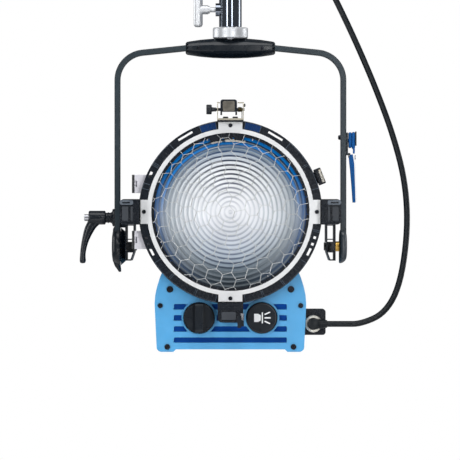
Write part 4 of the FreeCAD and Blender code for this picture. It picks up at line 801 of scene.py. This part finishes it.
def make_lever():
    """Tilt-lock lever: a ribbed hub on the stud and a curved arm that thickens at its tip."""
    bm = bmesh.new()
    stations = [(-8.0, -281.2, -252.0, 9.5), (-16.0, -282.6, -252.5, 9.3),
                (-21.0, -284.8, -255.0, 9.0), (-25.7, -287.4, -262.0, 8.8),
                (-31.6, -289.9, -267.9, 8.6), (-41.4, -292.5, -273.6, 8.2),
                (-55.0, -295.2, -280.8, 7.6), (-67.8, -297.4, -285.0, 7.2),
                (-79.8, -298.6, -287.4, 7.0), (-89.0, -299.2, -288.0, 7.2),
                (-95.0, -299.6, -286.8, 7.6), (-99.3, -299.2, -287.4, 7.0),
                (-101.8, -297.4, -289.8, 4.4)]
    column(bm, stations, 2.6)
    new_piece("tilt_lever_arm", bm, "tilt_lock", "black_plastic", ("tilt_lever",), levels=1,
              angle=80)
    bm = bmesh.new()
    hub = [(6.5, -281.7), (11.8, -281.7), (13.4, -280.6), (13.8, -279), (13.8, -250), (13, -248.4),
           (10.6, -247.8), (9.8, -247), (9.8, -244), (10.8, -243.2), (10.8, -241.6), (9.8, -240.8),
           (9.8, -238.4), (10.8, -237.6), (10.8, -236), (13, -235), (17.2, -233.8), (17.6, -230.4),
           (6.5, -230.2)]
    lathe(bm, hub, at(0, 0, LEVER_LEVEL), X, steps=40)
    new_piece("tilt_lever_hub", bm, "tilt_lock", "black_plastic", angle=40, bevel=0.0003)
    bm = bmesh.new()
    bolt = [(0, -290.5), (5.2, -290.5), (6.4, -289.7), (6.6, -288.4), (6.6, -281.6), (0, -281.6)]
    lathe(bm, bolt, at(0, 0, LEVER_LEVEL), X, steps=6)
    lathe(bm, box((0, 7.8), (-282, -281.3)), at(0, 0, LEVER_LEVEL), X, steps=32)
    new_piece("tilt_lever_bolt", bm, "tilt_lock", "plain_steel", angle=30, bevel=0.0004)


def make_pivot_housing():
    """Cast housing over the left pivot, with five shallow lobes, a rib and a pointed foot."""
    bm = bmesh.new()
    profile = [(0, -235.2), (8, -235.6), (10, -235.6), (11.8, -234.6), (20, -235.2), (29, -234),
               (34.5, -231.8), (37.8, -228.6), (39.2, -225), (39.5, -220), (38.5, -218.2),
               (30, -217.8), (0, -217.8)]

    def lobes(angle, along):
        return 1 + (0.035 * math.cos(5 * angle) - 0.035 if along < -220 else -0.01)
    lathe(bm, profile, at(0, 0, TILT_LEVEL), X, steps=60, ripple=lobes)
    new_piece("pivot_housing_cast", bm, "yoke", "black_plastic", ("left_pivot_housing",), angle=50)
    bm = bmesh.new()
    rib = [(-28.0, -232.6, -218.4, 15.0), (-36.0, -234.6, -218.2, 17.0),
           (-100.0, -233.6, -218.4, 15.0), (-108.0, -229.6, -217.6, 11.0),
           (-112.5, -225.4, -217.0, 8.0), (-117.0, -222.8, -216.8, 6.0),
           (-119.0, -221.6, -217.2, 4.0)]
    column(bm, rib, 2.8)
    new_piece("pivot_housing_rib", bm, "yoke", "black_plastic", levels=1, angle=80)


def make_grip():
    """Moulded hand grip with long facets, thickest in the middle."""
    bm = bmesh.new()
    rings = []
    for x, half_z, half_y in ((-89.0, 9.5, 18.0), (-88.2, 11.6, 21.0), (-86.0, 12.9, 22.6),
                              (-82.0, 13.7, 23.6), (-60.0, 17.0, 25.6), (-34.0, 19.3, 26.6),
                              (-12.0, 20.2, 27.0), (12.0, 20.2, 27.0), (34.0, 19.3, 26.6),
                              (60.0, 17.0, 25.6), (82.0, 13.7, 23.6), (86.0, 12.9, 22.6),
                              (88.2, 11.6, 21.0), (89.0, 9.5, 18.0)):
        ring = []
        for y, z in ((-1.0, -0.28), (-1.0, 0.28), (-0.86, 0.62), (-0.45, 0.95), (0.0, 1.0),
                     (0.45, 0.95), (0.86, 0.62), (1.0, 0.28), (1.0, -0.28), (0.86, -0.62),
                     (0.45, -0.95), (0.0, -1.0), (-0.45, -0.95), (-0.86, -0.62)):
            ring.append(at(x, y * half_y, GRIP_LEVEL + z * half_z))
        rings.append(ring)
    loft(bm, rings)
    new_piece("hand_grip", bm, "yoke", "black_plastic", ("yoke_grip",), angle=24, bevel=0.0022,
              segments=3)
    bm = bmesh.new()
    for hand in (-1, 1):
        for y in (-1, 1):
            lathe(bm, [(0, -0.2), (2.4, -0.2), (2.6, 0.3), (4.2, 0.4), (4.6, 1.2)],
                  at(hand * 62, y * 25.9, GRIP_LEVEL), -y * Y, steps=20)
    new_piece("hand_grip_screws", bm, "yoke", "dark_screws", angle=40)


def ribbon(bm, line, wide, width, thick, closed=False, wave=0.0):
    """A flat band along a line, wide in one direction; thick is one number or one a point."""
    columns, rows = 4, []
    for number, (point, step) in enumerate(course(line, closed)):
        deep = thick[number] if isinstance(thick, list) else thick
        out = wide.cross(step).normalized() * deep / 2
        row = []
        for side in (1, -1):
            for k in range(columns + 1)[::side]:
                lift = wave * math.sin(number * 0.9 + k * 1.7)
                row.append(point + wide * width * (k / columns - 0.5) + out * side
                           + out.normalized() * lift)
        rows.append(row)
    loft(bm, rows, closed)


def wound_roll(bm, x, z, radius):
    """Webbing wound flat, seen from its edge: a rounded block whose ends show the layers."""
    ends = [(0.0, 11.0), (0.5, 12.4), (0.9, 12.9), (1.3, 12.5), (1.7, 13.0), (2.1, 12.6),
            (2.5, 12.9)]
    rows = [(inset, -y) for inset, y in reversed(ends)] + ends
    rings = []
    for inset, y in rows:
        outline = rounded_box((x[0] + inset, x[1] - inset), (z[0] + inset, z[1] - inset),
                              max(radius - inset, 0.3))
        rings.append([at(u, y, v) for u, v in outline])
    loft(bm, rings)


def make_strap():
    """The cable strap: hook-and-loop webbing wound on its pin, its free end hanging down."""
    bm = bmesh.new()
    wound_roll(bm, (234.4, 240.9), (127.2, 158.6), 2.9)
    wound_roll(bm, (241.1, 247.6), (125.4, 159.2), 2.9)
    ribbon(bm, [at(x, 0, z) for x, z in ((245.0, 130.0), (245.4, 124.0), (245.2, 116.5))],
           Y, 0.025, 0.0036)
    tail = [(239.8, 114.5), (240.0, 106.0), (241.2, 96.0), (242.2, 82.0), (243.2, 64.0),
            (244.2, 46.0), (245.0, 30.0), (245.6, 19.0)]
    half = [0.0032, 0.0045, 0.0047, 0.0043, 0.0038, 0.0034, 0.0031, 0.0028]
    for hand in (-1, 1):
        layer = [at(x, 0, z) + X * hand * h * 0.5 for (x, z), h in zip(tail, half)]
        ribbon(bm, layer, Y, 0.0252, half, wave=0.00012)
    new_piece("strap_webbing", bm, "yoke", "blue_strap", ("cable_strap",), angle=70, bevel=0.0010,
              segments=3)
    bm = bmesh.new()
    for side in (-0.0113, 0.0113):
        for number in range(44):
            down = number * 2.1
            lathe(bm, [(0, -0.1), (0.3, 0.2), (0.2, 0.5)],
                  at(247.4 + down * 0.034, 0, 112.0 - down) + Y * side, -X, steps=6)
    new_piece("strap_stitches", bm, "yoke", "blue_strap", angle=80)


def make_tie():
    """The tie that holds the put-away lead to the tube: one band round each."""
    bm = bmesh.new()
    middle = (COIL_CENTRE + COIL_RADIUS) * 1000
    oval = []
    for k in range(56):
        c, s = math.cos(2 * math.pi * k / 56), math.sin(2 * math.pi * k / 56)
        oval.append(at(0, 66.5 + 41.4 * math.copysign(abs(c) ** 0.7, c),
                       middle + 9.0 * math.copysign(abs(s) ** 0.8, s)))
    ribbon(bm, oval, X, 0.020, 0.0018, closed=True, wave=0.00010)
    circle = [(24.3 * math.cos(2 * math.pi * k / 48), 24.3 * math.sin(2 * math.pi * k / 48))
              for k in range(48)]
    ribbon(bm, [at(x, y, middle) for x, y in circle], Z, 0.017, 0.0018, closed=True,
           wave=0.00008)
    flap = [(10.5, 23.2), (4.0, 26.4), (-6.0, 26.8), (-14.0, 24.0), (-20.5, 18.5)]
    ribbon(bm, [at(x, y, middle) for x, y in flap], Z, 0.0165, 0.0018, wave=0.00010)
    new_piece("lead_tie", bm, "yoke", "black_strap", ("cord_tie",), angle=70, bevel=0.0003)


# ---------------------------------------------------------------- brackets, latches and fittings
def make_slot_backs():
    """Louvres that close the front panel's slots from behind, dark blue as painted shade inside
    the slots.
    """
    # The slots' dark blue is painted shade.
    slot_shade = finish_of("slot_painted_shade", (0, 62, 138), 0.7, vary=0.15, grain=500, depth=0.00006,
                       shine=0.1)
    bm = bmesh.new()
    rows = ((-180.6, -191.8, ((-111.8, -88), (-36, -12), (14, 36), (86, 110.6))),
            (-202.2, -213.7, ((-111.8, -93.5), (-29.5, 29.5), (93.5, 110.6))),
            (-224.5, -235.5, ((-111.8, -86), (-37, 37), (86, 110.6))),
            (-246.3, -256.5, ((-111.8, 110.6),)))
    for top, foot, spans in rows:
        for low, high in spans:
            prism(bm, box((low, high), (foot, top)), -134.5, -131.2)
            prism(bm, box((low, high), (foot, foot + 2.6)), -138.0, -134.0)
    new_piece("slot_shade_louvres", bm, "head", "blue_paint", angle=30, material=slot_shade)


def make_bracket_details():
    """Ribs, a sunk panel and a slot with a pale rim on the fronts of the accessory brackets; the
    rim's lightness is a painted highlight.
    """
    panel = finish_of("bracket_grain", (36, 42, 50), 0.55, vary=0.2, grain=700, depth=0.00012)
    # The slot's pale rim near the top is a painted highlight.
    highlight_finish = finish_of("bracket_painted_highlight", (84, 92, 102), 0.4, metal=0.2, vary=0.2)
    dark, grained, painted_highlight = bmesh.new(), bmesh.new(), bmesh.new()
    for hand in (-1, 1):
        def add(bm, outline, low, high):
            prism(bm, [(hand * u, v) for u, v in outline], low, high)
        add(dark, box((178.6, 182.6), (-22, 22)), -197.2, -195.8)
        add(dark, box((184.2, 185.6), (-20, 16)), -197.6, -195.8)
        for u in (188.2, 196.4, 213.2):
            add(dark, box((u, u + 1.2), (-19, 12.5)), -197.4, -194.4)
        add(dark, box((188.2, 214.4), (-20.2, -18.8)), -197.4, -194.4)
        add(dark, box((187.0, 213.0), (-24.2, -22.4)), -197.8, -195.8)
        add(grained, rounded_box((199.4, 212.2), (-17.4, 10.6), 1.6), -196.0, -194.4)
        add(grained, rounded_box((190.6, 195.4), (-17.4, 10.6), 1.2), -195.4, -194.4)
        add(painted_highlight, rounded_box((190.0, 216.4), (13.6, 23.2), 3.4), -197.0, -195.4)
        add(dark, rounded_box((196.0, 211.6), (16.4, 19.4), 1.3), -197.4, -196.6)
        add(dark, box((180.0, 200.0), (22.8, 24.9)), -197.6, -195.8)
    loop = rounded_box((-20.0, 14.0), (-214.0, -193.0), 4.0)
    sweep(dark, [at(x, -196.3, z) for x, z in loop], 0.0009, sides=6, closed=True)
    prism(grained, rounded_box((-17.4, 11.2), (-211.4, -195.6), 2.6), -196.6, -194.4)
    for z in (-183.0, -187.4):
        prism(dark, box((-23, 23), (z, z + 1.6)), -197.0, -195.8)
    new_piece("bracket_ribs", dark, "lens_door", "black_casting", angle=30, bevel=0.0003)
    new_piece("bracket_panels", grained, "lens_door", "black_casting", angle=30, bevel=0.0003,
              material=panel)
    new_piece("bracket_painted_highlight", painted_highlight, "lens_door", "black_casting", angle=30, bevel=0.0006,
              material=highlight_finish)


def make_clamp():
    """The small black thumb screw of the lower bracket, with its spring."""
    bm = bmesh.new()
    prism(bm, rounded_box((13.6, 21.6), (-227.0, -203.0), 2.0), -208.0, -200.5)
    prism(bm, rounded_box((21.0, 26.4), (-224.0, -212.5), 1.6), -206.5, -201.5)
    lathe(bm, [(0, -201), (5.8, -201), (6.2, -200.4), (6.2, -196.4), (0, -196.4)],
          at(17, 0, -212.2), Y, steps=28)
    new_piece("clamp_thumb", bm, "clamp_screw", "black_plastic", ("lower_clamp",), angle=30,
              bevel=0.0006)
    bm = bmesh.new()
    line = []
    for k in range(97):
        turn = k / 16 * 2 * math.pi
        line.append(at(22.6 + 3.4 * math.cos(turn), -202.6 + 3.4 * math.sin(turn),
                       -211.5 + k * 0.13))
    sweep(bm, line, 0.00065, sides=8)
    new_piece("clamp_spring", bm, "clamp_screw", "plain_steel", angle=60)


def make_pivot_cap():
    """Rounded cast foot of the yoke's right arm."""
    finish = finish_of("cap_paint", (50, 60, 68), 0.32, grain=1200, depth=0.00005,
                       worn=(120, 126, 130), soften=0.0025, rough_vary=0.05)
    bm = bmesh.new()
    stations = [(-34.6, 217.8, 227.8, 12.0), (-36.0, 217.0, 228.6, 20.0),
                (-40.0, 216.2, 230.0, 27.0), (-46.0, 215.6, 231.3, 31.0),
                (-60.0, 215.4, 231.9, 33.0), (-80.0, 215.4, 231.8, 33.0),
                (-90.0, 215.4, 231.0, 31.0), (-96.0, 215.4, 228.8, 27.0),
                (-100.2, 215.5, 223.6, 20.0), (-101.6, 216.0, 219.6, 12.0)]
    column(bm, stations, 4.0)
    new_piece("pivot_cap_cast", bm, "yoke", "yoke_paint", ("right_pivot_cap",), levels=1, angle=80,
              material=finish)


def make_catch():
    """The door catch's case and its slider, turned to lie along the ring."""
    turn = math.radians(21.7)

    def add(outline, low, high):
        c, s = math.cos(turn), math.sin(turn)
        prism(bm, [(u * c - v * s, u * s + v * c) for u, v in outline], low, high)

    bm = bmesh.new()
    add(rounded_box((181.2, 195.6), (-16.4, 16.4), 2.0), -160.0, -128.0)
    add(box((174.0, 182.0), (-12.0, 12.0)), -140.0, -130.0)
    for v in (-14.6, 13.4):
        add(box((182.4, 194.8), (v, v + 1.2)), -161.2, -159.8)
    add(box((183.0, 187.0), (-12.0, 12.0)), -160.9, -159.8)
    new_piece("catch_case", bm, "head", "black_casting", ("door_catch_case",), angle=30,
              bevel=0.0006)
    bm = bmesh.new()
    add(rounded_box((190.2, 194.2), (-13.0, 13.0), 1.2), -160.9, -159.8)
    new_piece("catch_track", bm, "head", "zinc_steel", angle=30, bevel=0.0003,
              material=OWN_FINISH["latch_base"])
    bm = bmesh.new()
    add(rounded_box((189.4, 193.6), (-13.5, 9.5), 0.8), -163.3, -161.2)
    for k in range(5):
        v = -9.0 + k * 3.6
        add(box((189.8, 193.2), (v, v + 1.2)), -164.0, -163.1)
    new_piece("catch_slider", bm, "catch", "zinc_steel", ("door_catch",), angle=30, bevel=0.0003)


def make_connector_parts():
    """The cable inlet's bright ring and the ribbed boot on the cord."""
    ring = finish_of("inlet_ring", (226, 222, 212), 0.34, 0.35, vary=0.06, depth=0.00002)
    bm = bmesh.new()
    lathe(bm, [(10.8, -118), (10.8, -125), (12.2, -126.8), (14.6, -126.8), (16.4, -125),
               (16.8, -122.5), (16.8, -118)],
          at(163, 0, INLET_LEVEL), Y, steps=56,
          ripple=lambda angle, along: 1 + (0.012 * math.cos(12 * angle)
                                           if along < -122.1 else 0))
    new_piece("inlet_ring", bm, "head", "zinc_steel", ("cable_gland",), angle=40, material=ring)
    bm = bmesh.new()
    for x in (175.5, 179.0, 182.5, 186.0):
        outer = 10.4 - (x - 175.5) * 0.22
        lathe(bm, [(6.6, x - 0.9), (outer, x - 0.6), (outer, x + 0.6), (6.6, x + 0.9)],
              at(0, BOOT_FRONT, INLET_LEVEL), X, steps=28)
    lathe(bm, [(0, -149.4), (8.6, -149.4), (10.8, -148.2), (11.6, -145), (11.6, -140)],
          at(163, 0, INLET_LEVEL), Y, steps=40)
    new_piece("boot_ribs", bm, "head", "black_rubber", angle=40, bevel=0.0003)


def make_latch_details():
    """The top latch's flap, its knob's grip, the saddle's seat and lips, and the rivets."""
    cover = finish_of("flap_cover", (92, 88, 80), 0.45, vary=0.25, depth=0.00004, blotch=90,
                      worn=(150, 142, 130), shine=0.25)
    left, right = -19.6, 13.0
    bm = bmesh.new()
    prism(bm, rounded_box((left, right), (196.0, 220.0), 4.8), -189.0, -165.0)
    for edge in (left, right - 3.4):
        prism(bm, box((edge, edge + 3.4), (189.5, 201.5)), -187.0, -167.0)
    new_piece("latch_flap_shell", bm, "top_flap", "black_casting", ("latch_flap",), angle=30,
              bevel=0.0008)
    bm = bmesh.new()
    prism(bm, rounded_box((left + 4.6, right - 4.6), (196.6, 217.0), 3.0), -190.2, -188.8)
    new_piece("latch_flap_cover", bm, "top_flap", "black_casting", angle=30, bevel=0.0005,
              material=cover)
    bm = bmesh.new()
    prism(bm, box((-25.6, 25.6), (176.4, 179.6)), -190.7, -190.0)
    for tooth in range(17):
        x = -24.8 + tooth * 3.0
        prism(bm, box((x, x + 1.6), (175.4, 176.6)), -190.7, -189.0)
    new_piece("saddle_seat", bm, "lens_door", "black_casting", angle=30)
    bm = bmesh.new()
    for start, end in ((-26.0, -20.6), (14.2, 26.0)):
        prism(bm, box((start, end), (212.8, 214.9)), -178.0, -170.0)
    new_piece("saddle_lips", bm, "lens_door", "zinc_steel", angle=30, bevel=0.0004,
              material=OWN_FINISH["latch_base"])
    bm = bmesh.new()
    lathe(bm, [(3, -47.2), (8.2, -47.2), (9.1, -46.4), (9.1, -37.6), (8.4, -36.6), (4.6, -36.4),
               (4, -33), (4, -28)],
          at(0, -176, 200.5), X, steps=80,
          ripple=lambda angle, along: 1 + (0.05 * math.cos(20 * angle)
                                           if -46.5 < along < -37 else 0))
    new_piece("latch_knob_grip", bm, "top_flap", "black_plastic", angle=50)
    bm = bmesh.new()
    lathe(bm, [(0, 29.6), (2.2, 29.4), (3.4, 28), (3.4, 26.2)], at(0, -183, 208.6), X, steps=20)
    for x in (-9.5, 9.5):
        lathe(bm, [(0, 6.4), (5, 6.4), (6, 5.6), (6.2, 2.8)], at(x, -172, 180.2), Z, steps=6)
    new_piece("latch_rivets", bm, "lens_door", "dark_screws", angle=40, bevel=0.0003)


def make_knob_details():
    """Grip teeth round the focus knob, and a rim round the blanking cap."""
    bm = bmesh.new()
    for k in range(36):
        a = 2 * math.pi * k / 36
        ahead, aside = heading(a), heading(a + math.pi / 2)
        centre = Vector(FOCUS_KNOB)
        outline = [centre + ahead * 29.6 - aside * 1.1, centre + ahead * 31.0 - aside * 0.7,
                   centre + ahead * 31.0 + aside * 0.7, centre + ahead * 29.6 + aside * 1.1]
        prism(bm, outline, -153.5, -141.0)
    new_piece("focus_knob_grip", bm, "focus", "black_plastic", angle=30, bevel=0.0003)
    bm = bmesh.new()
    lathe(bm, [(26.2, -147.9), (27, -148.6), (28.8, -148.6), (30, -147.8)],
          at(BLANK_CAP[0], 0, BLANK_CAP[1]), Y, steps=64)
    new_piece("cap_rim", bm, "head", "black_plastic", angle=40)


# ---------------------------------------------------------------- back and inner details
def make_rear_screws():
    """Socket screws round the rear casting, and the rear grip's collars and ribs."""
    bm = bmesh.new()
    places = [(119, -152), (138, -184), (124, -265), (-119, -152), (-138, -184), (-124, -265)]
    places += [(157 * math.sin(math.radians(a)), 157 * math.cos(math.radians(a)))
               for a in (-100, -60, -20, 20, 60, 100)]
    for x, z in places:
        lathe(bm, [(0, 213.1), (2.2, 213.1), (2.4, 215.2), (4.8, 215.2), (5.5, 214.4),
                   (5.5, 211.8)], at(x, 0, z), Y, steps=24)
    new_piece("rear_screws", bm, "head", "dark_screws", angle=40)
    bm = bmesh.new()
    for x in (-61, 61):
        lathe(bm, [(15.2, 216.8), (16.8, 216), (17.2, 214), (17.2, 212.1)],
              at(x, 0, REAR_GRIP_LEVEL), Y, steps=40)
    for x in range(-60, 61, 15):
        lathe(bm, [(8.8, x - 5.2), (9.7, x - 4.6), (10.1, x), (9.7, x + 4.6), (8.8, x + 5.2)],
              at(0, 254, REAR_GRIP_LEVEL), X, steps=32)
    new_piece("rear_grip_ribs", bm, "head", "black_rubber", angle=50)


def make_lamp_inside():
    """The lamp's filament coils and the wires that hold them."""
    glowing = finish_of("filament_wire", (210, 205, 196), 0.3, 0.9, depth=0.00001)
    bm = bmesh.new()
    for side in (-1, 0, 1):
        line = []
        for k in range(97):
            turn = k / 8 * 2 * math.pi
            line.append(at(side * 9 + 2.6 * math.cos(turn), 20 + 2.6 * math.sin(turn),
                           -16 + k * 0.34))
        sweep(bm, line, 0.00045, sides=6)
    for side in (-1, 1):
        sweep(bm, [at(side * 19, 20, -116), at(side * 16, 20, -70), at(side * 11, 20, -30),
                   at(side * 9, 20, -16)], 0.0009, sides=8)
    sweep(bm, [at(-10, 20, 18), at(0, 20, 24), at(10, 20, 18)], 0.0007, sides=8)
    new_piece("lamp_filament", bm, "carriage", "plain_steel", angle=60, material=glowing)


def make_plug_details():
    """Grip ridges on the plug and the strain relief where the cord goes in."""
    bm = bmesh.new()
    for k in range(6):
        loop = [at(PLUG[0] + 19 * math.cos(math.radians(a)),
                   PLUG[1] + 19 * math.sin(math.radians(a)), 466 + k * 6.4)
                for a in range(0, 360, 8)]
        sweep(bm, loop, 0.0011, sides=8, closed=True)
    new_piece("plug_ridges", bm, "yoke", "black_plastic", angle=60, material=M["black_rubber"])
    bm = bmesh.new()
    for k in range(5):
        z = 520.6 + k * 4.2
        outer = 9.8 - k * 0.5
        lathe(bm, [(6, z), (outer, z + 0.3), (outer, z + 2.3), (6, z + 2.7)], at(*PLUG, 0), Z,
              steps=24)
    new_piece("plug_relief", bm, "yoke", "black_plastic", angle=40, material=M["black_rubber"])


def make_yoke_details():
    """The screw in the strap's plate, and the strap's two wire loops."""
    bm = bmesh.new()
    lathe(bm, [(0, 213.8), (3, 214), (4.5, 215.2), (4.8, 218.8)], at(0, 0, 148.3), X, steps=20)
    new_piece("strap_screws", bm, "yoke", "dark_screws", angle=40)
    bm = bmesh.new()
    loop = rounded_box((-13.8, 13.8), (108.6, 117.0), 2.4)
    sweep(bm, [at(235.2, y, z) for y, z in loop], 0.0010, sides=8, closed=True)
    loop = rounded_box((-12.6, 12.6), (105.4, 112.4), 2.4)
    sweep(bm, [at(248.0, y, z) for y, z in loop], 0.0009, sides=8, closed=True)
    new_piece("strap_buckle", bm, "yoke", "plain_steel", angle=60)


# ---------------------------------------------------------------- the end
def corners(box):
    return [list(box[0]), list(box[1])]


for make in (make_cord, studio, make_guard, make_rim, make_ring_plates, make_mark, make_lever,
             make_pivot_housing, make_grip, make_strap, make_tie, make_slot_backs,
             make_bracket_details, make_clamp, make_pivot_cap, make_catch, make_connector_parts,
             make_latch_details, make_knob_details, make_rear_screws, make_lamp_inside,
             make_plug_details, make_yoke_details):
    make()
